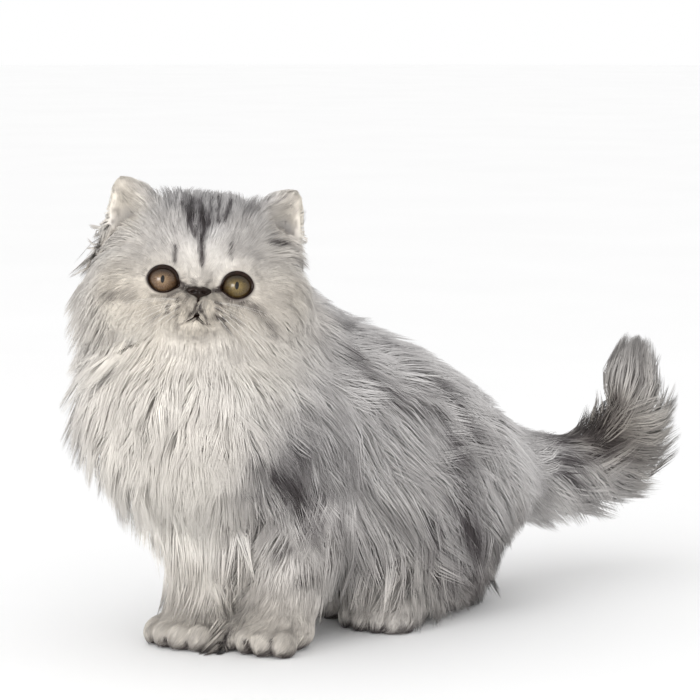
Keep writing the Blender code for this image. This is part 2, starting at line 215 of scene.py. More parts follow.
BODY_LIE = (
    ((-0.4, -6.8, 20.6), 3.0, (0.0, -0.3, -1.0), 52),
    ((-0.6, -7.4, 16.5), 3.5, (0.0, -0.2, -1.0), 62),
    ((-1.2, -5.0, 12.0), 3.5, (0.0, 0.0, -1.0), 60),
    ((-6.4, -1.2, 20.5), 3.0, (-0.4, -0.1, -1.0), 56),
    ((-6.2, -1.6, 15.5), 3.5, (-0.2, 0.0, -1.0), 56),
    ((5.4, -1.6, 20.5), 3.0, (0.5, 0.4, -0.8), 54),
    ((5.2, 0.6, 14.5), 3.0, (0.2, 0.4, -0.9), 46),
    ((-5.4, 3.6, 14.5), 3.0, (-0.2, 0.4, -0.9), 46),
    ((0.0, 5.0, 22.5), 3.0, (0.0, 1.0, -0.4), 50),
    ((0.4, 8.5, 20.5), 3.0, (0.0, 1.0, -0.35), 48),
    ((0.8, 13.0, 19.0), 3.5, (0.0, 1.0, -0.4), 46),
    ((1.4, 18.0, 16.6), 3.5, (0.0, 1.0, -0.45), 46),
    ((2.2, 23.0, 13.4), 3.0, (0.05, 1.0, -0.45), 46),
    ((6.0, 11.0, 15.4), 3.0, (0.15, 0.9, -0.6), 48),
    ((6.2, 11.0, 10.4), 3.0, (0.1, 0.4, -1.0), 56),
    ((5.2, 6.4, 7.0), 1.8, (0.15, 0.1, -1.0), 60),
    ((5.0, 10.6, 7.2), 2.5, (0.15, 0.1, -1.0), 60),
    ((5.0, 15.6, 6.6), 2.2, (0.15, 0.2, -1.0), 56),
    ((-4.6, 11.0, 15.4), 3.0, (-0.15, 0.9, -0.6), 48),
    ((-4.8, 11.0, 10.4), 3.0, (-0.1, 0.4, -1.0), 56),
    ((-3.8, 10.6, 7.2), 2.5, (-0.15, 0.1, -1.0), 60),
    ((-3.6, 15.6, 6.6), 2.2, (-0.15, 0.2, -1.0), 56),
    ((0.6, 11.0, 8.2), 2.5, (0.0, 0.5, -1.0), 30),
    ((6.8, 18.0, 8.6), 3.0, (0.15, 0.6, -0.9), 50),
    ((6.2, 20.0, 5.0), 2.0, (0.2, 0.3, -1.0), 28),
    ((6.2, 22.0, 7.0), 2.5, (0.1, 0.4, -1.0), 26),
    ((-4.8, 19.0, 8.6), 3.0, (-0.15, 0.6, -0.9), 50),
    ((-4.2, 21.4, 5.0), 2.0, (-0.2, 0.7, -0.8), 44),
    ((-4.0, 23.0, 7.0), 2.5, (-0.1, 0.9, -0.6), 46),
    ((2.2, 25.5, 6.4), 2.5, (0.0, 0.7, -0.8), 32),
    ((4.5, 20.5, 2.6), 1.8, (0.1, 0.6, -0.8), 24),
    ((-2.6, 21.8, 2.6), 1.8, (-0.1, 0.6, -0.8), 24),
    ((4.3, 16.5, 3.0), 1.8, (0.2, 0.3, -1.0), 24),
    ((-2.3, 18.0, 3.0), 1.8, (-0.2, 0.3, -1.0), 24),
    ((3.9, 11.6, 2.2), 2.0, (0.0, -0.8, -0.6), 9),
    ((-2.1, 13.2, 2.2), 2.0, (0.0, -0.8, -0.6), 9),
    ((3.0, 2.4, 9.5), 2.2, (0.0, 0.0, -1.0), 32),
    ((-3.1, 0.8, 9.5), 2.2, (0.0, 0.0, -1.0), 32),
    ((2.9, 6.2, 8.5), 2.2, (0.0, 0.4, -1.0), 32),
    ((-3.2, 4.6, 8.5), 2.2, (0.0, 0.4, -1.0), 32),
    ((2.7, 2.4, 5.4), 1.7, (0.0, 0.05, -1.0), 18),
    ((-2.9, 0.8, 5.4), 1.7, (0.0, 0.05, -1.0), 18),
    ((2.6, 2.0, 3.0), 1.4, (0.0, -0.1, -1.0), 12),
    ((-2.9, 0.4, 3.0), 1.4, (0.0, -0.1, -1.0), 12),
    ((2.5, -0.2, 1.8), 1.6, (0.0, -0.8, -0.6), 7),
    ((-2.9, -1.8, 1.8), 1.6, (0.0, -0.8, -0.6), 7),
    ((2.8, 29.0, 9.6), 2.5, (0.1, 1.0, -0.1), 44),
    ((3.0, 29.5, 7.0), 2.5, (0.1, 0.8, -0.6), 50),
    ((4.0, 35.5, 9.2), 2.5, (0.1, 1.0, 0.1), 46),
    ((4.2, 35.5, 6.8), 2.5, (0.1, 0.9, -0.5), 52),
    ((5.0, 40.2, 8.4), 1.8, (0.1, 1.0, -0.3), 50),
    ((5.0, 41.8, 10.2), 1.6, (0.1, 1.0, 0.3), 48),
    ((4.9, 40.2, 12.2), 1.6, (0.0, 0.15, 1.0), 46),
    ((5.0, 42.0, 13.2), 1.6, (0.05, 0.7, 0.8), 46),
    ((4.9, 41.2, 14.8), 1.6, (0.0, 0.1, 1.0), 32),
)

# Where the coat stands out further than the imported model: the space, a place, its reach, how far in mm
FULLNESS = (
    (HEAD, (-6.3, 0.3, -0.7), 2.0, 12),
    (HEAD, (-6.2, 0.6, 1.6), 1.0, 7),
    (HEAD, (2.7, -0.2, 5.6), 1.3, 8),
    (HEAD, (-2.5, -0.2, 5.8), 1.1, 15),
    (HEAD, (0.0, 0.0, 6.0), 1.2, 3),
    (BODY, (-7.0, -5.5, 18.0), 4.0, 9),
    (BODY, (-6.4, -5.0, 11.5), 2.6, 8),
    (BODY, (4.6, 37.8, 12.0), 1.4, 15),
    (BODY, (4.8, 39.2, 13.8), 1.3, 8),
    (BODY, (5.0, 43.0, 8.6), 2.0, 7),
    (BODY, (4.8, 37.0, 5.6), 2.5, 7),
    (BODY, (5.6, 6.4, 5.4), 1.8, 14),
    (BODY, (6.0, 10.6, 4.6), 2.6, 12),
    (BODY, (4.6, 14.0, 4.4), 2.4, 8),
    (BODY, (-4.6, 10.6, 4.6), 2.6, 12),
)

# Tabby marks and some painted shade as they are seen: a line's pixels, its width in centimetres and how dark
# it is
SEEN_MARKS = (
    # The forehead's bars
    (((203, 206), (203, 225), (202, 240), (201.5, 262)), 0.20, 0.88),
    (((198, 197), (204, 224)), 0.45, 0.45),
    (((181, 195), (187, 212), (194, 236)), 0.20, 0.55),
    (((190, 195), (197, 226)), 0.14, 0.55),
    (((219.5, 195), (218.5, 221)), 0.15, 0.80),
    (((211, 196), (209, 224)), 0.16, 0.50),
    (((174, 243), (175.5, 260)), 0.16, 0.55),
    (((231.5, 243), (231.5, 260)), 0.14, 0.38),
    # The cheeks' lines
    (((233, 300), (248, 304), (262, 314), (273, 329), (280, 345)), 0.40, 0.34),
    (((88, 298), (110, 300), (130, 299)), 0.45, 0.24),
    (((150, 297), (186, 300)), 0.14, 0.26),
    # The whisker pads' spots
    (((177, 300.5), (173, 302.5)), 0.09, 0.50),
    (((168.5, 305), (163, 307)), 0.09, 0.50),
    (((178.5, 307), (174, 311.5)), 0.09, 0.50),
    (((167.5, 312.5), (166, 316)), 0.09, 0.50),
    (((176.5, 317), (172, 321.5)), 0.09, 0.45),
    (((215, 300.5), (222.5, 305)), 0.10, 0.50),
    (((216, 308.5), (227, 315)), 0.09, 0.55),
    (((215, 316), (219.5, 322.5)), 0.09, 0.45),
    (((223, 318), (234, 336)), 0.09, 0.50),
    (((192, 321), (179, 336)), 0.11, 0.18),
    (((205, 323), (209.5, 334)), 0.11, 0.16),
    # Between the eyes and the nose, and the mouth
    (((180, 283), (187, 288)), 0.14, 0.65),
    (((221, 289), (214, 291)), 0.14, 0.65),
    (((190, 279), (192, 289)), 0.14, 0.30),
    (((210, 281), (206, 290)), 0.14, 0.30),
    (((198.5, 300), (198.5, 312)), 0.15, 0.90),
    (((198.5, 311), (191, 319)), 0.10, 0.70),
    (((198.5, 311), (206.5, 321.5)), 0.12, 0.80),
    # The ears
    (((275, 241), (290, 238)), 0.22, 0.65),
    (((112, 190), (126, 194)), 0.13, 0.20),
    (((112, 203), (128, 201)), 0.12, 0.20),
    (((113, 213), (131, 215)), 0.12, 0.20),
    (((118, 224), (130, 226)), 0.12, 0.35),
    (((262, 216), (284, 197)), 0.12, 0.30),
    (((270, 224), (293, 206)), 0.14, 0.30),
    (((274, 234), (296, 222)), 0.12, 0.25),
    # The back and the flank
    (((340, 321), (366, 326), (399, 337), (423, 362), (441, 375)), 0.45, 0.40),
    (((430, 366), (450, 382), (463, 395), (476, 423), (489, 446)), 0.45, 0.66),
    (((359, 352), (373, 366), (388, 384), (403, 399), (423, 410), (446, 412)), 0.50, 0.62),
    (((388, 410), (399, 432), (410, 450)), 0.25, 0.38),
    # The haunch and the thigh
    (((458, 437), (467, 463), (472, 487)), 0.75, 0.48),
    (((434, 527), (432, 545)), 0.55, 0.59),
    (((454, 502), (486, 508)), 0.30, 0.53),
    (((436, 557), (460, 590)), 0.20, 0.83),
    (((425, 552), (440, 565)), 0.20, 0.59),
    # The shoulder and the forelegs' bars
    (((270, 477), (306, 499)), 0.85, 0.59),
    # Painted shadow under the bib's lower edge, across the tops of the forelegs
    (((228, 510), (278, 499)), 0.40, 0.50),
    (((306, 462), (318, 464)), 0.45, 0.41),
    (((298, 513), (312, 514)), 0.45, 0.47),
    (((253, 552), (279, 544)), 0.22, 0.50),
    (((253, 559), (292, 551)), 0.28, 0.50),
    (((301, 583), (323, 579)), 0.38, 0.59),
    (((295, 513), (321, 524)), 0.40, 0.59),
    (((306, 542), (318, 543)), 0.35, 0.31),
    (((224.5, 562), (228, 600)), 0.20, 0.41),
    (((174, 588), (187, 592)), 0.20, 0.24),
    # Painted shade in the gaps between the toes and between the paws, and along the soles where they meet
    # the floor
    (((163, 640), (174, 648)), 0.12, 0.90),
    (((187, 641), (189, 650)), 0.12, 0.90),
    (((227, 632), (225, 645)), 0.25, 0.90),
    (((250, 654), (280, 655)), 0.20, 0.90),
    (((244, 641), (250, 652)), 0.12, 0.89),
    (((273, 643), (273, 653)), 0.12, 0.89),
    (((380, 630), (398, 628)), 0.25, 0.90),
    (((356, 612), (358, 626)), 0.12, 0.83),
    (((376, 608), (377, 624)), 0.12, 0.59),
    # The tail
    (((550, 437), (575, 431), (590, 430), (612, 448)), 0.75, 0.73),
    (((568, 459), (608, 458)), 0.50, 0.68),
    (((566, 477), (587, 491)), 0.30, 0.57),
    (((638, 354), (642, 387)), 0.60, 0.33),
    (((600, 415), (618, 432)), 0.80, 0.59),
)
# Tabby marks placed on the coat's outside, most of them out of sight: the space comes first
PLACED_MARKS = (
    (HEAD, ((-1.35, -1.0, 5.6), (-1.2, -2.6, 4.9), (-0.8, -3.6, 3.9)), 0.16, 0.60),
    (HEAD, ((1.45, -0.8, 5.6), (1.3, -2.4, 4.9), (1.2, -3.2, 4.0)), 0.15, 0.78),
    (HEAD, ((-0.5, -1.0, 5.7), (-0.3, -3.7, 3.7)), 0.16, 0.40),
    (HEAD, ((-1.9, -4.6, -1.9), (-2.9, -3.8, -3.1)), 0.08, 0.35),
    (HEAD, ((-1.2, -4.7, -2.3), (-1.7, -4.0, -3.5)), 0.08, 0.30),
    (HEAD, ((1.2, -4.8, -1.8), (2.3, -4.0, -3.3)), 0.07, 0.22),
    (HEAD, ((1.6, -4.6, -1.4), (3.0, -3.9, -2.9)), 0.08, 0.30),
    (HEAD, ((0.9, -4.7, -2.4), (1.5, -4.0, -3.7)), 0.07, 0.22),
    (HEAD, ((-2.4, 0.2, 6.0), (-2.6, -1.4, 5.4)), 0.60, 0.20),
    (HEAD, ((2.9, 0.2, 5.8), (2.7, -1.2, 5.2)), 0.60, 0.20),
    (HEAD, ((5.3, 0.2, 5.7), (4.9, -0.2, 4.7)), 0.28, 0.16),
    (HEAD, ((-5.3, 0.2, 5.7), (-4.9, -0.2, 4.7)), 0.28, 0.16),
    (BODY, ((8.6, 14.6, 7.8), (8.8, 17.0, 4.6)), 1.00, 0.71),
    (BODY, ((-7.6, 6.3, 19.0), (-7.4, 9.1, 15.8), (-7.4, 13.0, 14.0)), 0.75, 0.71),
    (BODY, ((-7.7, 14.6, 12.4), (-8.0, 17.0, 8.6)), 0.85, 0.59),
    (BODY, ((-6.4, -1.0, 12.0), (-6.6, 3.4, 10.2)), 0.90, 0.59),
    (BODY, ((-6.6, 3.0, 9.4), (-6.4, 5.4, 8.8)), 0.40, 0.53),
    (BODY, ((-4.9, 0.2, 6.6), (-5.0, 2.4, 6.4)), 0.30, 0.50),
    (BODY, ((-4.9, 0.6, 4.2), (-4.9, 2.2, 4.2)), 0.25, 0.53),
    (BODY, ((-5.0, 13.0, 19.0), (-5.6, 17.6, 14.0)), 0.50, 0.59),
    (BODY, ((2.0, 31.0, 10.4), (3.0, 37.0, 10.0)), 0.80, 0.65),
    (BODY, ((1.4, 32.0, 7.6), (2.4, 37.6, 7.4)), 0.50, 0.59),
)

# The coat's shade: a place, its reach, how dark it is and how warm. Head places count for both sides.
HEAD_SHADES = (
    ((0.0, -3.4, 3.8), 0.8, 0.40, 0.0),
    ((2.8, -3.0, 3.0), 1.4, 0.32, 0.2),
    ((0.0, -1.2, 6.0), 1.3, 0.30, 0.0),
    ((3.0, 0.0, 5.4), 1.3, 0.36, 0.0),
    ((4.4, -1.6, 2.2), 1.6, 0.24, 0.4),
    ((2.5, -4.2, 0.0), 1.2, 0.27, 0.7),
    ((1.1, -4.2, 1.6), 0.7, 0.05, 0.3),
    ((0.0, -4.5, 0.4), 0.6, 0.42, 0.5),
    ((1.2, -4.6, -1.6), 0.9, 0.46, 1.0),
    ((0.0, -4.2, -3.0), 1.0, 0.37, 0.9),
    ((2.8, -3.8, -1.9), 1.1, 0.36, 0.9),
    ((5.0, -1.8, -0.8), 1.6, 0.44, 1.0),
    ((4.2, -2.2, -3.8), 1.8, 0.11, 0.7),
    ((6.4, 0.6, 0.0), 2.0, 0.26, 0.4),
    ((5.2, 0.6, 5.2), 1.1, 0.12, 0.8),
    ((0.0, 4.0, 3.4), 2.5, 0.38, 0.0),
)
BODY_SHADES = (
    ((-0.6, -7.4, 17.0), 4.0, 0.15, 0.45),
    ((-1.2, -5.0, 12.0), 3.0, 0.04, 0.40),
    ((6.0, -2.4, 20.5), 3.0, 0.17, 0.25),
    ((-7.4, -3.0, 18.0), 3.5, 0.12, 0.25),
    ((6.4, 2.0, 12.0), 3.0, 0.50, 0.05),
    ((-6.4, 1.4, 12.0), 3.0, 0.46, 0.05),
    ((6.6, 5.0, 17.0), 2.6, 0.30, 0.05),
    ((6.6, 11.0, 13.0), 3.5, 0.34, 0.05),
    ((-6.0, 10.0, 14.0), 3.5, 0.36, 0.05),
    ((0.6, 7.0, 22.0), 3.0, 0.26, 0.00),
    ((1.0, 14.0, 18.6), 3.5, 0.20, 0.00),
    ((2.2, 23.0, 13.4), 3.5, 0.20, 0.00),
    ((7.6, 16.0, 8.6), 3.0, 0.36, 0.05),
    ((7.8, 15.8, 5.0), 1.8, 0.60, 0.10),
    ((-6.4, 17.0, 9.0), 3.0, 0.42, 0.05),
    ((0.8, 10.0, 7.6), 3.0, 0.34, 0.30),
    ((6.0, 9.0, 8.0), 2.5, 0.46, 0.15),
    ((2.8, 1.6, 6.6), 2.2, 0.24, 0.35),
    ((4.2, 2.0, 9.0), 1.8, 0.44, 0.15),
    ((-2.9, 0.0, 6.6), 2.4, 0.00, 0.35),
    ((2.5, -0.4, 1.5), 1.8, 0.34, 0.60),
    ((-2.9, -2.0, 1.5), 1.8, 0.33, 0.60),
    ((4.0, 12.0, 1.6), 2.2, 0.25, 0.40),
    ((-2.1, 13.6, 1.6), 2.2, 0.25, 0.40),
    ((4.4, 20.5, 3.2), 2.2, 0.62, 0.35),
    ((-2.6, 22.0, 3.2), 2.2, 0.56, 0.35),
    ((3.0, 29.0, 9.4), 2.5, 0.34, 0.00),
    ((3.2, 31.0, 5.6), 2.5, 0.28, 0.10),
    ((4.4, 36.0, 6.6), 2.5, 0.36, 0.10),
    ((4.6, 37.6, 9.8), 1.8, 0.76, 0.90),
    ((5.0, 43.0, 10.6), 2.5, 0.42, 0.50),
    ((5.0, 42.0, 15.6), 2.5, 0.38, 0.20),
)


def only(piece):
    """Selects one object alone."""
    bpy.ops.object.select_all(action="DESELECT")
    piece.select_set(True)
    bpy.context.view_layer.objects.active = piece


def finish_with(piece, kind, **settings):
    """Adds a modifier and applies it."""
    made = piece.modifiers.new(kind.lower(), kind)
    for name, value in settings.items():
        setattr(made, name, value)
    only(piece)
    bpy.ops.object.modifier_apply(modifier=made.name)


def add_object(name, mesh):
    made = bpy.data.objects.new(name, mesh)
    bpy.context.scene.collection.objects.link(made)
    return made


def places(mesh):
    found = np.empty(len(mesh.vertices) * 3, np.float32)
    mesh.vertices.foreach_get("co", found)
    return found.reshape(-1, 3).astype(float)


def in_space(points, space):
    """Model places as numbers of a space."""
    back = np.array(space.inverted())
    return points @ back[:3, :3].T + back[:3, 3]


def out_of_space(points, space):
    forth = np.array(space)
    return points @ forth[:3, :3].T + forth[:3, 3]


def ease(x):
    """Zero up to 0, one from 1, smooth between."""
    x = np.clip(x, 0, 1)
    return x * x * (3 - 2 * x)


def smooth_stations(stations, steps=9):
    """Rows between the stations, on a smooth curve through all of their numbers."""
    rows = np.array(stations, float)
    ends = np.vstack([2 * rows[0] - rows[1], rows, 2 * rows[-1] - rows[-2]])
    found = []
    for i in range(len(rows) - 1):
        a, b, c, d = ends[i : i + 4]
        for t in np.linspace(0, 1, steps, endpoint=False):
            bend = (2 * a - 5 * b + 4 * c - d) * t**2 + (3 * b - a - 3 * c + d) * t**3
            found.append(0.5 * (2 * b + (c - a) * t + bend))
    return np.array(found + [rows[-1]])


class Forms:
    """Rounded forms gathered in one mesh. A form is x, y, z and its half sizes along x, y and z."""

    def __init__(self):
        bpy.ops.object.select_all(action="DESELECT")
        bpy.ops.mesh.primitive_ico_sphere_add(subdivisions=3, radius=1.0)
        pattern = bpy.context.object
        self.corners = places(pattern.data)
        self.faces = np.array([face.vertices[:] for face in pattern.data.polygons])
        bpy.data.objects.remove(pattern)
        self.found = []

    def ball(self, space, x, y, z, *radii):
        self.found.append(out_of_space(self.corners * radii + (x, y, z), space))

    def pair(self, space, x, *rest):
        self.ball(space, x, *rest)
        self.ball(space, -x, *rest)

    def chain(self, space, *stations):
        for row in smooth_stations(stations):
            self.ball(space, *row)

    def joined(self, name):
        starts = len(self.corners) * np.arange(len(self.found))
        faces = (self.faces + starts[:, None, None]).reshape(-1, 3)
        mesh = bpy.data.meshes.new(name)
        mesh.from_pydata(np.concatenate(self.found).tolist(), [], faces.tolist())
        return add_object(name, mesh)


def trunk_flesh(forms):
    forms.chain(
        BODY,
        (-0.4, -2.2, 17.0, 6.0, 5.0, 5.4),
        (0.3, 4.4, 15.6, 5.5, 5.0, 5.8),
        (0.8, 11.0, 13.9, 5.7, 5.0, 5.7),
        (1.4, 17.4, 11.7, 5.5, 5.0, 5.2),
        (2.0, 22.0, 9.7, 4.9, 4.0, 4.2),
        (2.6, 25.0, 9.0, 3.1, 2.6, 2.7),
    )
    # The belly's loose skin
    for side in (-1, 1):
        forms.chain(
            BODY,
            (0.6 + 3.2 * side, 5.2, 9.2, 2.2, 2.6, 3.2),
            (0.8 + 3.4 * side, 11.6, 8.8, 2.3, 2.8, 3.5),
            (1.1 + 3.4 * side, 16.0, 8.2, 2.3, 2.8, 3.4),
        )
    # The neck
    forms.chain(
        BODY,
        (0.1, 3.4, 19.6, 5.2, 4.4, 4.6),
        (-0.6, -1.2, 20.8, 6.0, 5.2, 4.6),
        (0.1, -2.0, 23.0, 5.2, 4.4, 4.0),
    )


def leg_flesh(forms, x, y):
    """A foreleg whose paw is centred at x, y."""
    forms.chain(
        BODY,
        (1.06 * x, y + 3.6, 11.0, 2.5, 2.9, 3.2),
        (1.02 * x, y + 2.3, 6.4, 2.0, 2.1, 2.4),
        (0.99 * x, y + 1.5, 3.3, 1.95, 2.0, 1.9),
        (x, y + 0.6, 1.75, 2.0, 2.15, 1.5),
    )
    paw_flesh(forms, x, y, 0.0)


def paw_flesh(forms, x, y, turn_deg):
    space = BODY @ Matrix.Translation((x, y, 0)) @ Matrix.Rotation(math.radians(turn_deg), 4, "Z")
    forms.ball(space, 0.2, 0.2, 1.2, 2.3, 2.4, 1.5)
    for place in np.linspace(-1, 1, 4):
        forms.ball(space, 0.35 + 1.95 * place, -2.3 + 0.5 * place**2, 0.80, 0.66, 0.95, 0.95)


def hind_leg_flesh(forms, side, x, y):
    """A folded hind leg whose paw is centred at x, y."""
    forms.chain(
        BODY,
        (x + 0.5 * side, y + 7.2, 2.4, 1.5, 1.5, 1.9),
        (x + 0.5 * side, y + 6.4, 2.3, 1.5, 1.7, 1.4),
        (x + 0.2 * side, y + 2.6, 1.8, 1.75, 2.0, 1.2),
    )
    forms.chain(
        BODY,
        (x + 1.7 * side, y + 4.0, 8.0, 2.3, 3.0, 3.6),
        (x + 1.5 * side, y + 5.8, 6.8, 2.4, 2.6, 3.4),
        (x + 0.9 * side, y + 6.8, 4.6, 1.9, 1.9, 2.7),
    )
    paw_flesh(forms, x, y, 8.0 * side)


def tail_flesh(forms):
    forms.chain(
        BODY,
        (2.6, 26.4, 9.4, 2.4, 2.4, 2.2),
        (3.2, 30.6, 8.6, 1.6, 1.9, 1.7),
        (4.2, 35.4, 8.6, 1.4, 1.8, 1.6),
        (4.8, 38.8, 9.4, 1.3, 1.7, 1.8),
        (5.0, 40.6, 11.2, 1.2, 1.5, 1.6),
        (4.9, 40.7, 13.2, 1.1, 1.5, 1.4),
    )


def head_flesh(forms):
    forms.ball(HEAD, 0, 0.6, 1.4, 4.9, 4.3, 4.1)
    forms.ball(HEAD, 0, -1.9, 2.2, 3.2, 2.1, 2.5)
    forms.pair(HEAD, 3.2, -0.7, -0.7, 3.2, 3.05, 2.9)
    forms.pair(HEAD, 3.9, 0.4, -1.2, 2.3, 2.4, 2.4)
    forms.pair(HEAD, 4.2, 0.9, 1.9, 1.5, 1.6, 1.6)
    forms.ball(HEAD, 0, -1.2, -1.7, 3.9, 2.5, 2.0)
    forms.pair(HEAD, 2.1, -2.85, 1.65, 1.4, 1.05, 0.85)
    forms.ball(HEAD, 0, -3.5, 0, 0.8, 0.8, 1.1)
    forms.pair(HEAD, 1.0, -3.65, -1.5, 1.25, 1.12, 0.85)
    forms.ball(HEAD, 0, -3.4, -2.65, 1.15, 1.05, 0.7)
    forms.ball(HEAD, 0, -2.4, -2.3, 2.5, 1.5, 1.4)
    for side in (-1, 1):
        ear_flesh(forms, side)
        # The lids' swelling round the eyeball
        for angle in np.linspace(0, 2 * math.pi, 14, endpoint=False):
            x = side * EYE_X + 1.22 * math.cos(angle)
            forms.ball(HEAD, x, EYE_Y - 0.42, 1.08 * math.sin(angle), 0.34, 0.30, 0.34)


def ear_flesh(forms, side):
    """A small round-tipped ear, leaning out, with its hollow facing forwards."""
    base, tip = Vector((4.5, 0.9, 3.9)), Vector((5.6, 0.55, 6.15))
    for along in np.linspace(0, 1, 10):
        middle = base.lerp(tip, along)
        half_width = 1.5 * (1 - along**1.7) + 0.16
        for across in np.linspace(-1, 1, 9):
            reach = across * half_width
            bow = 0.7 * half_width * (1 - across**2)
            x = side * (middle.x + 0.86 * reach) + EAR_SIDEWAYS
            forms.ball(HEAD, x, middle.y + bow, middle.z - 0.5 * reach, 0.28, 0.24, 0.28)


def packed_tree():
    """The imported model's faces, to find where a line of sight meets it."""
    corners, faces = [], []
    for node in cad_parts.values():
        start = len(corners)
        corners += [vertex.co for vertex in node.data.vertices]
        faces += [[start + i for i in face.vertices] for face in node.data.polygons]
    return BVHTree.FromPolygons(corners, faces)


def find_marks():
    """Each mark's line on the model in metres, its width in centimetres and how dark it is."""
    tree = packed_tree()
    found = []
    for pixels, width, strength in SEEN_MARKS:
        line = [tree.ray_cast(CAMERA_PLACE, sight(*pixel).normalized())[0] for pixel in pixels]
        found.append((np.array(line), width, strength))
    for space, line, width, strength in PLACED_MARKS:
        found.append((out_of_space(np.array(line), space), width, strength))
    return found


def outer_surface():
    """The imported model's outside as one surface, to find the coat's depth with."""
    copies = [add_object("outside", node.data.copy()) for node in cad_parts.values()]
    only(copies[0])
    for copy in copies:
        copy.select_set(True)
    bpy.ops.object.join()
    joined = copies[0]
    bpy.ops.object.mode_set(mode="EDIT")
    bpy.ops.mesh.select_all(action="SELECT")
    bpy.ops.mesh.remove_doubles(threshold=1e-5)
    bpy.ops.object.mode_set(mode="OBJECT")
    finish_with(joined, "REMESH", mode="VOXEL", voxel_size=OUTER_VOXEL)
    finish_with(joined, "SMOOTH", iterations=2)
    tree = BVHTree.FromObject(joined, bpy.context.evaluated_depsgraph_get())
    bpy.data.objects.remove(joined)
    return tree


def lid_line(angle):
    """How far the lids' edge is from the eye's middle, at an angle from the inner corner."""
    wide, high = LID_OPENING
    oval = 1 / np.sqrt((np.cos(angle) / wide) ** 2 + (np.sin(angle) / high) ** 2)
    inner = 0.17 * np.exp(-(((angle + 0.30) / 0.24) ** 2))
    outer = 0.05 * np.exp(-(((np.abs(angle) - math.pi) / 0.4) ** 2))
    return oval * (1 + inner + outer)


def from_eye(head_places, side):
    """Distance from an eye's axis and the angle from its inner corner, of head places."""
    inwards = -side * (head_places[:, 0] - side * EYE_X)
    upwards = head_places[:, 2]
    return np.hypot(inwards, upwards), np.arctan2(upwards, inwards)


def ball_front(distance):
    """The eyeball's front, in head space, at a distance from the eye's axis."""
    return EYE_Y - np.sqrt(np.maximum(EYEBALL_RADIUS**2 - distance**2, 0))


def open_lids(head_places):
    """Moves the skin behind the eyeball inside the lids' edge, and just in front of it outside."""
    for side in (-1, 1):
        distance, angle = from_eye(head_places, side)
        edge = lid_line(angle)
        near = (distance < 2.0) & (head_places[:, 1] < -2.0)
        inside = near & (distance < edge)
        head_places[inside, 1] = ball_front(distance[inside]) + 0.14
        past = (distance - edge) / 0.55
        band = near & ~inside & (past < 1)
        fold = 0.06 + 0.05 * np.sin(math.pi * past[band])
        lid = ball_front(np.minimum(edge, EYEBALL_RADIUS))[band] - fold
        share = 1 - ease(past[band])
        head_places[band, 1] = head_places[band, 1] * (1 - share) + lid * share


def line_distance(points, line):
    """The distance from each point to a line through given points."""
    least = np.full(len(points), np.inf)
    line = np.array(line, float)
    for a, b in zip(line, line[1:]):
        along = np.clip((points - a) @ (b - a) / ((b - a) @ (b - a) + 1e-12), 0, 1)
        least = np.minimum(least, np.linalg.norm(points - a - along[:, None] * (b - a), axis=1))
    return least


def crease_mouth(head_places):
    """Presses the cleft and the lips' line into the skin."""
    front = head_places[:, 1] < -2.6
    for line in MOUTH_LINES:
        gap = line_distance(head_places[:, [0, 2]], line)
        head_places[:, 1] += np.where(front, 0.20 * np.exp(-((gap / 0.16) ** 2)), 0)


def make_skin():
    forms = Forms()
    trunk_flesh(forms)
    leg_flesh(forms, *FOREPAW_LEFT)
    leg_flesh(forms, *FOREPAW_RIGHT)
    hind_leg_flesh(forms, 1, *HINDPAW_LEFT)
    hind_leg_flesh(forms, -1, *HINDPAW_RIGHT)
    tail_flesh(forms)
    head_flesh(forms)
    skin = forms.joined("skin")
    finish_with(skin, "REMESH", mode="VOXEL", voxel_size=SKIN_VOXEL)
    finish_with(skin, "SMOOTH", iterations=3)
    # The face is made finer for the lids and the mouth
    only(skin)
    head_places = in_space(places(skin.data), HEAD)
    x, y, z = head_places.T
    face = (np.abs(x) < 4.3) & (y < -2.4) & (z > -3.6) & (z < 1.9)
    bpy.ops.object.mode_set(mode="EDIT")
    bpy.ops.mesh.select_mode(type="VERT")
    bpy.ops.mesh.select_all(action="DESELECT")
    bpy.ops.object.mode_set(mode="OBJECT")
    skin.data.vertices.foreach_set("select", face)
    bpy.ops.object.mode_set(mode="EDIT")
    bpy.ops.mesh.subdivide(number_cuts=3)
    bpy.ops.mesh.vertices_smooth(factor=0.5, repeat=6)
    bpy.ops.object.mode_set(mode="OBJECT")
    head_places = in_space(places(skin.data), HEAD)
    open_lids(head_places)
    crease_mouth(head_places)
    moved = out_of_space(head_places, HEAD)
    # The soles are flat
    moved[:, 2] = np.maximum(moved[:, 2], 0.0004)
    skin.data.vertices.foreach_set("co", moved.astype(np.float32).ravel())
    finish_with(skin, "TRIANGULATE")
    bpy.ops.object.mode_set(mode="EDIT")
    bpy.ops.mesh.select_all(action="SELECT")
    bpy.ops.uv.smart_project(angle_limit=math.radians(66), island_margin=0.002)
    bpy.ops.object.mode_set(mode="OBJECT")
    skin.data.uv_layers[0].name = "OFBake"
    skin.data.shade_smooth()
    return skin


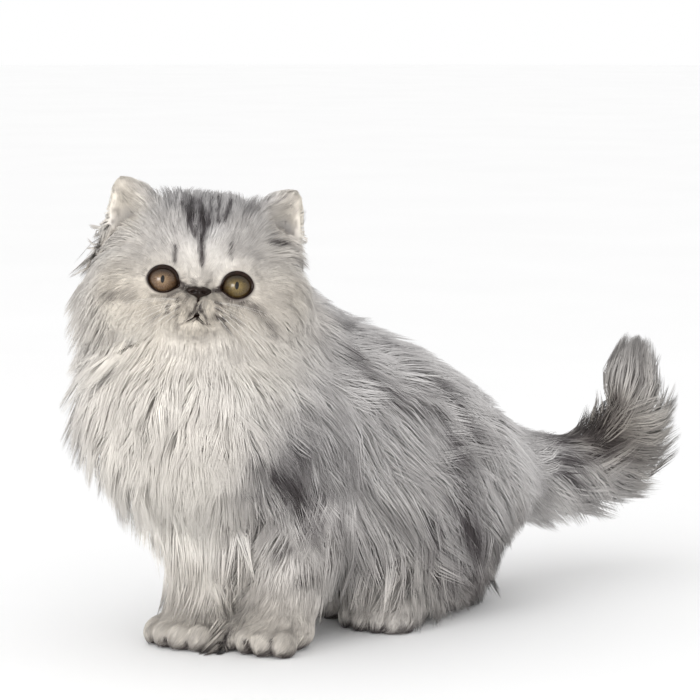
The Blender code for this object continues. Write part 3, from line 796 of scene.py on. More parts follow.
class Hide:
    """The skin as arrays, with the coat's depth, lie and length at each of its points."""

    def __init__(self, skin, outside):
        mesh = skin.data
        self.places = places(mesh)
        self.count = len(self.places)
        self.edges = np.empty(len(mesh.edges) * 2, np.int32)
        mesh.edges.foreach_get("vertices", self.edges)
        self.edges = self.edges.reshape(-1, 2)
        self.neighbours = np.bincount(self.edges.ravel(), minlength=self.count)
        self.triangles = np.empty(len(mesh.polygons) * 3, np.int32)
        mesh.polygons.foreach_get("vertices", self.triangles)
        self.triangles = self.triangles.reshape(-1, 3)
        uv = np.empty(len(mesh.loops) * 2, np.float32)
        mesh.uv_layers["OFBake"].uv.foreach_get("vector", uv)
        self.uv = uv.reshape(-1, 3, 2)
        self.normals = self.find_normals()
        self.head = in_space(self.places, HEAD)
        self.body = in_space(self.places, BODY)
        self.depth = self.find_depth(outside)
        self.lie, self.length = self.find_lie()
        self.tree = KDTree(self.count)
        for i, point in enumerate(self.places.tolist()):
            self.tree.insert(point, i)
        self.tree.balance()
        self.dark, self.warm = self.find_shades(find_marks())

    def find_normals(self):
        a, b, c = (self.places[self.triangles[:, i]] for i in range(3))
        across = np.cross(b - a, c - a)
        self.areas = np.linalg.norm(across, axis=1) / 2
        total = np.zeros((self.count, 3))
        for corner in range(3):
            for axis in range(3):
                total[:, axis] += np.bincount(self.triangles[:, corner], across[:, axis], self.count)
        total = self.evened(total, 3)
        return total / np.linalg.norm(total, axis=1, keepdims=True)

    def evened(self, values, steps):
        """Values evened out with their neighbours'."""
        values = values.reshape(self.count, -1)
        near, far = self.edges.T
        for _ in range(steps):
            total = values.copy()
            for column in range(values.shape[1]):
                total[:, column] += np.bincount(near, values[far, column], self.count)
                total[:, column] += np.bincount(far, values[near, column], self.count)
            values = total / (self.neighbours + 1)[:, None]
        return values

    def find_depth(self, outside):
        """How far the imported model's surface is from each point of the skin, in metres."""
        found = np.full(self.count, 1.5 * MM)
        for i, (point, normal) in enumerate(zip(self.places.tolist(), self.normals.tolist())):
            hit, facing, _, gap = outside.ray_cast(Vector(point), Vector(normal), DEEPEST_COAT)
            if hit and facing.dot(Vector(normal)) > 0:
                found[i] = gap
        found = np.maximum(self.evened(found, 6).ravel(), THINNEST_COAT_MM * MM)
        for space, place, reach, extra in FULLNESS:
            gap = np.linalg.norm(self.own(space) - place, axis=1)
            found += extra * MM * np.exp(-0.5 * (gap / reach) ** 2)
        return found

    def own(self, space):
        return self.head if space is HEAD else self.body

    def find_lie(self):
        """The way the hair points and its length, from the guides."""
        total = np.zeros((self.count, 5))
        for space, guides in ((HEAD, HEAD_LIE), (BODY, BODY_LIE)):
            own = self.own(space)
            for place, reach, way, length in guides:
                for side in (1, -1) if space is HEAD and place[0] else (1,):
                    gap = np.linalg.norm(own - np.array(place) * (side, 1, 1), axis=1)
                    weight = np.exp(-0.5 * (gap / reach) ** 2) + 1e-5 / (1 + gap**4)
                    points = (space.to_3x3() @ Vector((way[0] * side, way[1], way[2]))).normalized()
                    total += weight[:, None] * (*points, length * MM, 1.0)
        lie = total[:, :3] / total[:, 4:]
        length = total[:, 3] / total[:, 4]
        # Over the face the hair points away from the middle, and away from each eye
        x, y, z = self.head.T
        around = np.stack([x, np.full(self.count, 0.2), z + 0.1], axis=1)
        around /= np.linalg.norm(around, axis=1, keepdims=True)
        middle = np.linalg.norm(self.head - (0.0, -4.4, 0.3), axis=1)
        share = ease((4.4 - middle) / 2.0)[:, None]
        turned = np.array(HEAD.to_3x3().normalized())
        lie = lie * (1 - share) + (around @ turned.T) * share
        for side in (-1, 1):
            gap, angle = from_eye(self.head, side)
            gap = np.where(y < -1.5, gap, 99.0)
            away = np.stack([x - side * EYE_X, np.full(self.count, 0.25), z], axis=1)
            away /= np.linalg.norm(away, axis=1, keepdims=True)
            share = ease((2.0 - gap) / 0.9)[:, None]
            lie = lie * (1 - share) + (away @ turned.T) * share
            length = np.minimum(length, (2.4 + 5.0 * np.maximum(gap - 1.0, 0)) * MM)
        mouth_gap = np.min([line_distance(self.head[:, [0, 2]], line) for line in MOUTH_LINES], axis=0)
        mouth_gap = np.where(y < -2.6, mouth_gap, 99.0)
        length = np.minimum(length, (1.8 + 4.5 * mouth_gap) * MM)
        nose_gap = np.linalg.norm(self.head - NOSE, axis=1)
        length = np.minimum(length, (2.2 + 2.8 * np.maximum(nose_gap - 0.7, 0)) * MM)
        lie = self.evened(lie, 4)
        return lie / np.maximum(np.linalg.norm(lie, axis=1, keepdims=True), 1e-6), length

    def surface(self):
        """Where the coat's outside is over each point of the skin."""
        return self.places + self.normals * self.depth[:, None]

    def find_shades(self, marks):
        """How dark and how warm the coat is over each point of the skin."""
        total = np.zeros((self.count, 3))
        surface = self.surface()
        own = {"head": in_space(surface, HEAD), "body": in_space(surface, BODY)}
        for name, shades in (("head", HEAD_SHADES), ("body", BODY_SHADES)):
            for place, reach, dark, warm in shades:
                for side in (1, -1) if name == "head" and place[0] else (1,):
                    gap = np.linalg.norm(own[name] - np.array(place) * (side, 1, 1), axis=1)
                    weight = np.exp(-0.5 * (gap / reach) ** 2) + 1e-6
                    total += weight[:, None] * (dark, warm, 1.0)
        dark, warm = total[:, 0] / total[:, 2], total[:, 1] / total[:, 2]
        clear = 1 - dark
        tree = KDTree(self.count)
        for i, point in enumerate(surface.tolist()):
            tree.insert(point, i)
        tree.balance()
        for line, width, strength in marks:
            # The mark's line is laid on the coat's outside
            steps = [np.linspace(a, b, 8, endpoint=False) for a, b in zip(line, line[1:])]
            points = np.vstack([*steps, line[-1:]])
            laid = surface[[tree.find(point)[1] for point in points.tolist()]]
            reach = 2.5 * width * CM
            least, most = laid.min(axis=0) - reach, laid.max(axis=0) + reach
            near = ((surface > least) & (surface < most)).all(axis=1)
            gap = line_distance(surface[near], laid) / CM
            clear[near] *= 1 - strength * np.exp(-((gap / width) ** 2))
        # Painted shade on the hair near the floor, darkest along the soles' edges
        clear *= 1 - 0.70 * np.exp(-((own["body"][:, 2] / 0.45) ** 2))
        # The eyes' dark surrounds
        for side in (-1, 1):
            gap, angle = from_eye(own["head"], side)
            past = np.maximum(gap - lid_line(angle) - 0.15, 0)
            clear *= np.where(own["head"][:, 1] < -2, 1 - 0.45 * np.exp(-((past / 0.14) ** 2)), 1)
        return 1 - clear, warm

    def nearest(self, points):
        find = self.tree.find
        return np.array([find(point)[1] for point in points.tolist()])


def unit(vectors):
    return vectors / np.maximum(np.linalg.norm(vectors, axis=-1, keepdims=True), 1e-9)


def bare_places(points):
    """Where no hair grows: the eyes, the nose leather, the parting of the mouth and the soles."""
    own = in_space(points, HEAD)
    bare = points[:, 2] < 1.5 * MM
    for side in (-1, 1):
        gap, angle = from_eye(own, side)
        bare |= (gap < lid_line(angle) + 0.16) & (own[:, 1] < -2.4)
    across = (own[:, 0] / 0.74) ** 2 + ((own[:, 2] - NOSE[2]) / 0.42) ** 2
    bare |= (across < 1) & (own[:, 1] < -3.4)
    for line in MOUTH_LINES:
        bare |= (line_distance(own[:, [0, 2]], line) < 0.19) & (own[:, 1] < -2.6)
    return bare


def scatter_roots(hide, count):
    """Roots over the skin, closer where the hair is short."""
    length = hide.length[hide.triangles].mean(axis=1) / MM
    # Where the coat is deep it has more to cover than the skin's own area
    outer = hide.places + hide.normals * np.minimum(hide.depth, 0.03)[:, None] * 0.7
    a, b, c = (outer[hide.triangles[:, i]] for i in range(3))
    covered = np.maximum(np.linalg.norm(np.cross(b - a, c - a), axis=1) / 2, hide.areas * 0.3)
    weight = covered / (lock_width(length) * length**0.7)
    weight[bare_places(hide.places[hide.triangles].mean(axis=1))] = 0
    reached = np.cumsum(weight) / weight.sum()
    chosen = np.searchsorted(reached, (np.arange(count) + rng.random(count)) / count)
    chosen = np.minimum(chosen, len(weight) - 1)
    shares = rng.random((count, 2))
    over = shares.sum(axis=1) > 1
    shares[over] = 1 - shares[over]
    shares = np.column_stack([1 - shares.sum(axis=1), shares])
    corners = hide.triangles[chosen]
    points = (hide.places[corners] * shares[:, :, None]).sum(axis=1)
    uv = (hide.uv[chosen] * shares[:, :, None]).sum(axis=1)
    nearest = corners[np.arange(count), shares.argmax(axis=1)]
    kept = ~bare_places(points)
    return points[kept], uv[kept], nearest[kept]


def lock_width(length_mm):
    """A lock's width in mm for its length in mm."""
    return 0.26 + 0.0105 * length_mm


def neighbours_of(roots, every):
    """For each root, the nearest of every so many roots."""
    centres = np.arange(every // 2, len(roots), every)
    tree = KDTree(len(centres))
    for i in centres.tolist():
        tree.insert(roots[i], i)
    tree.balance()
    return np.array([tree.find(root)[1] for root in roots.tolist()])


def grow(hide, roots, vertex, tuft, wisp):
    """The line of each lock: its stations from the root to the tip, and the skin under each station."""
    count = len(roots)
    spread = rng.normal(0, 1, (3, count))
    even = rng.random((3, count))
    length = hide.length[vertex] * (0.80 + 0.16 * even[0, wisp] + 0.16 * even[0])
    length = np.maximum(length, 1.25 * hide.depth[vertex])
    long = ease((length / MM - 10) / 25)
    top = 0.84 + 0.20 * even[1, tuft] + 0.10 * even[1]
    twist = 0.08 * spread[0] + (0.06 + 0.22 * long) * spread[0, tuft] + 0.08 * spread[0, wisp]
    line = np.empty((STATIONS, count, 3))
    under = np.empty((STATIONS, count), int)
    line[0] = roots - hide.normals[vertex] * 0.5 * MM
    under[0] = vertex
    point = line[0]
    heading = None
    for station in range(1, STATIONS):
        share = station / (STATIONS - 1)
        skin = under[station - 1]
        normal = hide.normals[skin]
        lie = hide.lie[skin]
        rise = (lie * normal).sum(axis=1, keepdims=True)
        lie = lie - normal * rise * np.where(rise > 0, 0.8 - 0.5 * long[:, None], 0.8)
        lie = unit(unit(lie) + np.cross(normal, lie) * twist[:, None])
        if heading is not None:
            lie = unit(lie + heading * (0.5 + 0.9 * long)[:, None])
        heading = lie
        point = point + lie * (length / (STATIONS - 1))[:, None]
        skin = hide.nearest(point)
        normal = hide.normals[skin]
        height = ((point - hide.places[skin]) * normal).sum(axis=1)
        deep = np.minimum(hide.depth[skin], (0.45 + 0.35 * long) * length)
        wanted = top * (1 - (1 - share) ** 1.7) * deep
        short = wanted - height
        # Short hair is held to its height, and long hair may leave the body and hang
        hanging = np.clip(-1.6 * normal[:, 2], 0, 1) * long
        firm = np.where(short > 0, 0.9, (0.8 - 0.45 * long) * (1 - hanging))
        point = point + normal * (short * firm)[:, None]
        line[station] = point
        under[station] = skin
    # A slight wave, like that of the locks beside it
    normal = hide.normals[under]
    sideways = unit(np.cross(normal[1:], line[1:] - line[:-1]))
    phase = 6.3 * even[2, wisp] + 0.8 * spread[1]
    for station in range(1, STATIONS):
        share = station / (STATIONS - 1)
        swing = 0.036 * length * np.sin(phase + 5.0 * share) * share
        line[station] += sideways[station - 1] * swing[:, None]
    line[..., 2] = np.maximum(line[..., 2], 0.5 * MM)
    return line, under, length


def gather(roots, line, centre, strength):
    """Draws each lock towards its centre lock, more at the tip."""
    offset = roots - roots[centre]
    for station in range(1, STATIONS):
        share = strength * (station / (STATIONS - 1)) ** 1.4
        aim = line[station, centre] + offset * (1 - 0.8 * share)[:, None]
        line[station] += (aim - line[station]) * share[:, None]


def lock_meshes(hide, roots, uv, line, under, length, dark, warm):
    """Closed three-sided tapered locks as arrays, each lock with its own number of stations."""
    width = lock_width(length / MM) * MM * rng.uniform(0.75, 1.25, len(roots))
    tangent = np.empty_like(line)
    tangent[1:-1] = line[2:] - line[:-2]
    tangent[0] = line[1] - line[0]
    tangent[-1] = line[-1] - line[-2]
    tangent = unit(tangent)
    normal = hide.normals[under]
    across = unit(np.cross(normal, tangent))
    out = np.cross(tangent, across)
    built = []
    mm = length / MM
    for shortest, longest, used in USED_BY_LENGTH:
        chosen = np.flatnonzero((mm >= shortest) & (mm < longest))
        if len(chosen):
            built.append(prisms(chosen, used, uv, line, normal, across, out, width, dark, warm))
    return built


def prisms(chosen, used, uv, line, normal, across, out, width, dark, warm):
    rings = len(used) - 1
    per_lock = 3 * rings + 1
    count = len(chosen)
    co = np.empty((count, per_lock, 3))
    bent = np.empty((count, per_lock, 3))
    station_of = np.full(per_lock, STATIONS - 1)
    spot = np.empty((per_lock, 2))
    for ring in range(rings):
        station = used[ring]
        for corner, turn in enumerate((90, 210, 330)):
            turn = math.radians(turn)
            way = across[station, chosen] * math.cos(turn) + out[station, chosen] * math.sin(turn) * 0.7
            i = 3 * ring + corner
            half = (width[chosen] * LOCK_PROFILE[station] / 2)[:, None]
            co[:, i] = line[station, chosen] + way * half
            bent[:, i] = unit(way * 0.34 + normal[station, chosen])
            station_of[i] = station
            spot[i] = (station / (STATIONS - 1) - 0.5, corner / 3 - 0.33)
    co[:, -1] = line[-1, chosen]
    bent[:, -1] = normal[-1, chosen]
    spot[-1] = (0.5, 0)
    co[..., 2] = np.maximum(co[..., 2], 0.2 * MM)
    share = station_of / (STATIONS - 1)
    faces = [(0, 2, 1)]
    for ring in range(rings - 1):
        a, b = 3 * ring, 3 * ring + 3
        for corner in range(3):
            after = (corner + 1) % 3
            faces += [(a + corner, a + after, b + after), (a + corner, b + after, b + corner)]
    last = 3 * (rings - 1)
    faces += [(last + corner, last + (corner + 1) % 3, per_lock - 1) for corner in range(3)]
    return {
        "locks": chosen,
        "co": co,
        "normal": bent,
        "faces": np.array(faces),
        "dark": dark[station_of][:, chosen].T * (0.84 + 0.22 * share),
        "warm": warm[station_of][:, chosen].T,
        "uv": np.clip(uv[chosen, None] + BAKE_PATCH * spot, 0, 1),
    }


def mesh_from(name, parts):
    """One mesh from blocks of like locks, each a block of arrays and which of its locks are used."""
    co, normal, dark, warm, uv, faces = [], [], [], [], [], []
    start = 0
    for block, rows in parts:
        per_lock = block["co"].shape[1]
        co.append(block["co"][rows].reshape(-1, 3))
        normal.append(block["normal"][rows].reshape(-1, 3))
        dark.append(block["dark"][rows].ravel())
        warm.append(block["warm"][rows].ravel())
        uv.append(block["uv"][rows].reshape(-1, 2))
        first = start + per_lock * np.arange(len(rows))
        faces.append((first[:, None, None] + block["faces"]).reshape(-1, 3))
        start += per_lock * len(rows)
    co, normal, dark, warm, uv, faces = (np.concatenate(x) for x in (co, normal, dark, warm, uv, faces))
    mesh = bpy.data.meshes.new(name)
    mesh.vertices.add(len(co))
    mesh.vertices.foreach_set("co", co.astype(np.float32).ravel())
    mesh.loops.add(faces.size)
    mesh.loops.foreach_set("vertex_index", faces.astype(np.int32).ravel())
    mesh.polygons.add(len(faces))
    mesh.polygons.foreach_set("loop_start", np.arange(0, faces.size, 3, dtype=np.int32))
    mesh.update(calc_edges=True)
    patches = mesh.uv_layers.new(name="OFBake")
    patches.uv.foreach_set("vector", uv[faces.ravel()].astype(np.float32).ravel())
    mesh.shade_smooth()
    set_shades(mesh, dark, warm)
    bent = mesh.attributes.new("custom_normal", "FLOAT_VECTOR", "POINT")
    bent.data.foreach_set("vector", normal.astype(np.float32).ravel())
    return mesh


def set_shades(mesh, dark, warm):
    """Stores how dark and how warm each corner is, for the material to read."""
    for name, values in (("dark", dark), ("warm", warm)):
        attribute = mesh.attributes.new(name, "FLOAT", "POINT")
        attribute.data.foreach_set("value", values.astype(np.float32))


def nearest_node(points):
    """Which flesh node each place is nearest to."""
    tree = KDTree(sum(len(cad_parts[name].data.vertices) for name in FLESH))
    owner = []
    for i, name in enumerate(FLESH):
        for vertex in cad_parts[name].data.vertices:
            tree.insert(vertex.co, len(owner))
            owner.append(i)
    tree.balance()
    return np.array([owner[tree.find(point)[1]] for point in points.tolist()])


def make_coat(hide):
    roots, uv, vertex = scatter_roots(hide, COAT_LOCKS)
    tuft, wisp = neighbours_of(roots, TUFT_LOCKS), neighbours_of(roots, WISP_LOCKS)
    line, under, length = grow(hide, roots, vertex, tuft, wisp)
    tightness = np.clip(0.08 + 0.010 * length / MM, 0, 0.55)
    gather(roots, line, tuft, tightness)
    gather(roots, line, wisp, tightness * 0.9)
    dark, warm = hide.dark[under], hide.warm[under]
    lift = rng.normal(0, 1, len(roots))
    # Tufts, wisps and locks differ a little from each other, more where the coat is dark
    streak = (0.012 + 0.11 * dark) * lift[tuft]
    streak += (0.012 + 0.12 * dark) * lift[wisp]
    streak += (0.010 + 0.05 * dark) * lift
    dark = np.clip(dark + streak, 0, 1)
    blocks = lock_meshes(hide, roots, uv, line, under, length, dark, warm)
    node = nearest_node(roots)
    pieces = []
    for i, name in enumerate(FLESH):
        parts = []
        for block in blocks:
            rows = np.flatnonzero(node[block["locks"]] == i)
            if len(rows):
                parts.append((block, rows))
        triangles = sum(len(rows) * len(block["faces"]) for block, rows in parts)
        shares = math.ceil(triangles / MOST_TRIANGLES)
        for share in range(shares):
            some = [(block, rows[share::shares]) for block, rows in parts]
            suffix = f"_{share + 1}" if shares > 1 else ""
            piece = add_object(f"coat_{name}{suffix}", mesh_from(f"coat_{name}", some))
            pieces.append(piece)
    return pieces


def add_node(tree, kind, inputs=None, stops=(), **settings):
    """A shader node with its settings, its inputs set or linked, and its colour stops where it has any."""
    node = tree.nodes.new("ShaderNode" + kind)
    for name, value in settings.items():
        setattr(node, name, value)
    for name, value in (inputs or {}).items():
        if isinstance(value, bpy.types.NodeSocket):
            tree.links.new(value, node.inputs[name])
        else:
            node.inputs[name].default_value = value
    while stops and len(node.color_ramp.elements) < len(stops):
        node.color_ramp.elements.new(0.5)
    for i, (place, colour) in enumerate(stops):
        node.color_ramp.elements[i].position = place
        node.color_ramp.elements[i].color = linear(colour)
    return node


def new_material(name):
    """An empty material and its tree of nodes."""
    material = bpy.data.materials.new(name)
    material.use_nodes = True
    material.node_tree.nodes.clear()
    return material, material.node_tree


def coat_colour(tree):
    """The silver tabby's colour: white hair with dark tips, cream where it is warm."""
    dark = add_node(tree, "Attribute", attribute_name="dark").outputs["Fac"]
    warm = add_node(tree, "Attribute", attribute_name="warm").outputs["Fac"]
    silver = add_node(tree, "ValToRGB", {"Fac": dark}, SILVER_TO_BLACK).outputs["Color"]
    layers = {0: warm, 6: silver, 7: linear(CREAM)}
    return add_node(tree, "Mix", layers, data_type="RGBA", blend_type="MULTIPLY").outputs[2]


def hair_material():
    """Fine soft hair: mostly scattered light with a faint broad gloss, from many smooth round hairs."""
    material, tree = new_material("silver_tabby_hair")
    finish = {
        "Base Color": coat_colour(tree),
        "Roughness": 0.62,
        "Specular IOR Level": 0.18,
        "Sheen Weight": 0.12,
        "Sheen Roughness": 0.5,
    }
    shader = add_node(tree, "BsdfPrincipled", finish)
    add_node(tree, "OutputMaterial", {"Surface": shader.outputs[0]})
    return material


def hide_material():
    """The underfur on the skin: matt and woolly, seen only between the locks."""
    material, tree = new_material("woolly_underfur")
    place = add_node(tree, "TexCoord").outputs["Object"]
    # Wool a millimetre across, which shows as a soft mottling
    wool = add_node(tree, "TexNoise", {"Vector": place, "Scale": 900.0, "Detail": 3.0})
    bump = add_node(tree, "Bump", {"Height": wool.outputs[0], "Distance": 0.0006, "Strength": 0.6})
    finish = {
        "Base Color": coat_colour(tree),
        "Roughness": 0.85,
        "Specular IOR Level": 0.1,
        "Normal": bump.outputs[0],
    }
    shader = add_node(tree, "BsdfPrincipled", finish)
    add_node(tree, "OutputMaterial", {"Surface": shader.outputs[0]})
    return material


def damp_skin_material(name, colour, edge_colour, pebble_mm, gloss):
    """Dark bare skin: fine pebbles, with a damp film that gives small soft lights."""
    material, tree = new_material(name)
    place = add_node(tree, "TexCoord").outputs["Object"]
    cells = add_node(tree, "TexVoronoi", {"Vector": place, "Scale": 1000 / pebble_mm})
    cloud = add_node(tree, "TexNoise", {"Vector": place, "Scale": 420.0, "Detail": 2.0})
    pebbles = {"Height": cells.outputs["Distance"], "Distance": 0.00015, "Strength": 0.5}
    bump = add_node(tree, "Bump", pebbles, invert=True)
    tint = add_node(tree, "ValToRGB", {"Fac": cloud.outputs[0]}, ((0.35, colour), (0.7, edge_colour)))
    finish = {
        "Base Color": tint.outputs["Color"],
        "Roughness": gloss,
        "Specular IOR Level": 0.08,
        "Coat Weight": 0.1,
        "Coat Roughness": 0.3,
        "Normal": bump.outputs[0],
    }
    shader = add_node(tree, "BsdfPrincipled", finish)
    add_node(tree, "OutputMaterial", {"Surface": shader.outputs[0]})
    return material


def iris_material(name, inner, middle, outer):
    """A wet eye: fine threads out from an upright pupil, a dark edge, and a clear tear film that mirrors."""
    material, tree = new_material(name)
    uv = add_node(tree, "UVMap", uv_map="iris").outputs[0]
    height = add_node(tree, "SeparateXYZ", {0: uv}).outputs[1]
    place = add_node(tree, "VectorMath", {0: uv, 1: (0.5, 0.5, 0.0)}, operation="SUBTRACT").outputs[0]
    radius = add_node(tree, "VectorMath", {0: place}, operation="LENGTH").outputs["Value"]
    at = add_node(tree, "SeparateXYZ", {0: place})
    angle = add_node(tree, "Math", {0: at.outputs[1], 1: at.outputs[0]}, operation="ARCTAN2").outputs[0]
    # Threads from the pupil to the edge: many round the iris, few along it
    polar = add_node(tree, "CombineXYZ", {0: angle, 1: radius}).outputs[0]
    along = add_node(tree, "VectorMath", {0: polar, 1: (11.0, 7.0, 0.0)}, operation="MULTIPLY").outputs[0]
    threads = add_node(tree, "TexNoise", {"Vector": along, "Scale": 1.6, "Detail": 3.0}).outputs[0]
    rings = ((0.06, inner), (0.20, middle), (0.36, outer), (0.415, "#2c1f14"), (0.45, "#0d0907"))
    base = add_node(tree, "ValToRGB", {"Fac": radius}, rings).outputs["Color"]
    thread_tint = add_node(tree, "ValToRGB", {"Fac": threads}, ((0.32, "#94877a"), (0.66, "#ffffff")))
    # The iris's top is darkened with a painted shadow of the upper lid
    painted_lid_shadow = add_node(tree, "ValToRGB", {"Fac": height}, ((0.52, "#ffffff"), (0.80, "#5e544c")))
    for tint, strength in ((thread_tint, 0.9), (painted_lid_shadow, 1.0)):
        layers = {0: strength, 6: base, 7: tint.outputs["Color"]}
        base = add_node(tree, "Mix", layers, data_type="RGBA", blend_type="MULTIPLY").outputs[2]
    # The pupil is where the distance in pupil sizes is under about one
    sizes = (*PUPIL_HALF, 1.0)
    share = add_node(tree, "VectorMath", {0: place, 1: sizes}, operation="DIVIDE").outputs[0]
    slit = add_node(tree, "VectorMath", {0: share}, operation="LENGTH").outputs["Value"]
    edge = {0: slit, 1: 4.0, 2: -3.4}
    hole = add_node(tree, "Math", edge, operation="MULTIPLY_ADD", use_clamp=True).outputs[0]
    layers = {0: hole, 6: linear("#080605"), 7: base}
    finish = {
        "Base Color": add_node(tree, "Mix", layers, data_type="RGBA", blend_type="MIX").outputs[2],
        "Roughness": 0.3,
        "Specular IOR Level": 0.1,
        "Coat Weight": 1.0,
        "Coat Roughness": 0.05,
        "Coat IOR": 1.376,
    }
    shader = add_node(tree, "BsdfPrincipled", finish)
    add_node(tree, "OutputMaterial", {"Surface": shader.outputs[0]})
    return material


def clouded_material(name, scale, tints, finish):
    """A faintly mottled surface: two tints in clouds, with the shader's other sockets in finish."""
    material, tree = new_material(name)
    place = add_node(tree, "TexCoord").outputs["Object"]
    cloud = add_node(tree, "TexNoise", {"Vector": place, "Scale": scale})
    tint = add_node(tree, "ValToRGB", {"Fac": cloud.outputs[0]}, tuple(zip((0.3, 0.7), tints)))
    shader = add_node(tree, "BsdfPrincipled", {"Base Color": tint.outputs["Color"], **finish})
    add_node(tree, "OutputMaterial", {"Surface": shader.outputs[0]})
    return material


def whisker_material():
    """Stiff whisker: clear pale horn, glossier than the coat."""
    return clouded_material("whisker_horn", 300.0, ("#efece8", "#dcd8d3"), {"Roughness": 0.35})


def floor_material():
    """Matt studio floor paper: even, pale, with the faintest mottling."""
    finish = {"Roughness": 0.95, "Specular IOR Level": 0.05}
    return clouded_material("studio_paper", 3.0, ("#fbfbfb", "#fdfdfd"), finish)


def dress(piece, material):
    piece.data.materials.clear()
    piece.data.materials.append(material)
    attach(piece, "root")


def make_eyeball(side, name):
    """An eyeball with the clear front's bulge, its iris map looking out of the head."""
    bpy.ops.object.select_all(action="DESELECT")
    bpy.ops.mesh.primitive_uv_sphere_add(segments=64, ring_count=48, radius=EYEBALL_RADIUS)
    ball = bpy.context.object
    ball.name = name
    own = places(ball.data)
    # The sphere's poles are turned to face forwards
    own = np.column_stack([own[:, 0], -own[:, 2], own[:, 1]])
    gap = np.hypot(own[:, 0], own[:, 2])
    bulge = 0.10 * ease(1 - gap / 0.78)
    own[:, 1] -= np.where(own[:, 1] < 0, bulge, 0)
    uv = ball.data.uv_layers.new(name="iris")
    corners = np.empty(len(ball.data.loops), np.int32)
    ball.data.loops.foreach_get("vertex_index", corners)
    flat = own[:, [0, 2]] / (2 * EYEBALL_RADIUS)
    flat = np.where(own[:, 1:2] < 0, flat, flat + unit(flat) * 0.2) + 0.5
    uv.uv.foreach_set("vector", flat[corners].astype(np.float32).ravel())
    moved = out_of_space(own + (side * EYE_X, EYE_Y, 0), HEAD)
    ball.data.vertices.foreach_set("co", moved.astype(np.float32).ravel())
    outward(ball)
    bpy.ops.object.shade_smooth()
    return ball


def outward(piece):
    """Turns the faces outwards."""
    only(piece)
    bpy.ops.object.mode_set(mode="EDIT")
    bpy.ops.mesh.select_all(action="SELECT")
    bpy.ops.mesh.normals_make_consistent(inside=False)
    bpy.ops.object.mode_set(mode="OBJECT")


def make_lid_rim(side, name, skin_tree):
    """The lids' dark bare edge, a soft rounded band round the opening."""
    bpy.ops.object.select_all(action="DESELECT")
    bpy.ops.mesh.primitive_torus_add(
        major_segments=96, minor_segments=16, major_radius=1.0, minor_radius=RIM_HALF_WIDTH
    )
    rim = bpy.context.object
    rim.name = name
    own = places(rim.data)
    angle = np.arctan2(own[:, 1], own[:, 0])
    across = np.hypot(own[:, 0], own[:, 1]) - 1.0
    # Thicker over the top of the eye, thinner below it
    distance = lid_line(angle) + 0.06 + across * (1 + 0.40 * np.sin(angle))
    x, z = side * (EYE_X - distance * np.cos(angle)), distance * np.sin(angle)
    skin_y = np.array([head_front(skin_tree, *place) for place in zip(x, z)])
    behind = np.minimum(skin_y, ball_front(np.minimum(distance, 1.0)))
    y = behind - 0.035 - 0.6 * own[:, 2]
    moved = out_of_space(np.column_stack([x, y, z]), HEAD)
    rim.data.vertices.foreach_set("co", moved.astype(np.float32).ravel())
    finish_with(rim, "SMOOTH", iterations=3, factor=0.4)
    outward(rim)
    bpy.ops.object.shade_smooth()
    return rim


def head_front(skin_tree, x, z):
    """The head's y of the skin straight ahead of x, z."""
    place = on_skin(skin_tree, x, z, 0)
    return in_space(place[None], HEAD)[0, 1]


def make_nose():
    """The nose leather: broad wings over a narrow foot, with a nostril each side and a middle groove."""
    bpy.ops.object.select_all(action="DESELECT")
    bpy.ops.mesh.primitive_uv_sphere_add(segments=96, ring_count=64, radius=1.0)
    nose = bpy.context.object
    nose.name = "nose_leather"
    own = places(nose.data) * (0.80, 0.50, 0.47)
    x, y, z = own.T
    low = ease((-z - 0.06) / 0.38)
    x *= 1 - 0.78 * low
    y += 0.10 * low
    # The top edge is flat with a dip in the middle, and the wings' ends rise a little
    z *= np.where(z > 0, 0.75, 1.0)
    z -= 0.07 * np.exp(-((x / 0.22) ** 2)) * (z > 0)
    z += 0.05 * ease((np.abs(x) - 0.45) / 0.35)
    front = ease(-y / 0.2)
    for side in (-1, 1):
        along = (x - side * 0.36) * side
        up = z + 0.02 + 0.30 * along
        dent = np.exp(-((along / 0.17) ** 2) - (up / 0.075) ** 2)
        y += 0.26 * dent * front
    y += 0.07 * np.exp(-((x / 0.05) ** 2)) * front * ease((0.16 - z) / 0.2)
    moved = out_of_space(np.column_stack([x, y, z]) + NOSE, HEAD)
    nose.data.vertices.foreach_set("co", moved.astype(np.float32).ravel())
    outward(nose)
    bpy.ops.object.shade_smooth()
    return nose


def tube_arrays(points, radii, sides):
    """A closed tapered tube's corners and faces along points."""
    points = np.array(points, float)
    tangent = unit(np.gradient(points, axis=0))
    first = unit(np.cross(tangent, (0.31, 0.11, 0.94)))
    second = np.cross(tangent, first)
    turns = np.linspace(0, 2 * math.pi, sides, endpoint=False)
    ring = first[:, None] * np.cos(turns)[:, None] + second[:, None] * np.sin(turns)[:, None]
    corners = (points[:, None] + ring * np.array(radii)[:, None, None]).reshape(-1, 3)
    faces = []
    for i in range(len(points) - 1):
        for k in range(sides):
            a, b = i * sides + k, i * sides + (k + 1) % sides
            faces.append((a, b, b + sides, a + sides))
    faces.append(tuple(range(sides))[::-1])
    faces.append(tuple(range(len(corners) - sides, len(corners))))
    return corners, faces


def tubes(name, lines, sides=8):
    """One mesh of tubes, each with its points and radii in metres."""
    corners, faces = [], []
    for points, radii in lines:
        own, own_faces = tube_arrays(points, radii, sides)
        start = sum(len(c) for c in corners)
        corners.append(own)
        faces += [tuple(start + i for i in face) for face in own_faces]
    mesh = bpy.data.meshes.new(name)
    mesh.from_pydata(np.concatenate(corners).tolist(), [], faces)
    made = add_object(name, mesh)
    outward(made)
    bpy.ops.object.shade_smooth()
    return made


def on_skin(skin_tree, x, z, lift):
    """A head place on the skin's front, from straight ahead, lifted off it, in metres."""
    start = HEAD @ Vector((x, -9.0, z))
    way = (HEAD.to_3x3() @ Vector((0, 1, 0))).normalized()
    hit = skin_tree.ray_cast(start, way)
    return np.array(hit[0] - way * lift)


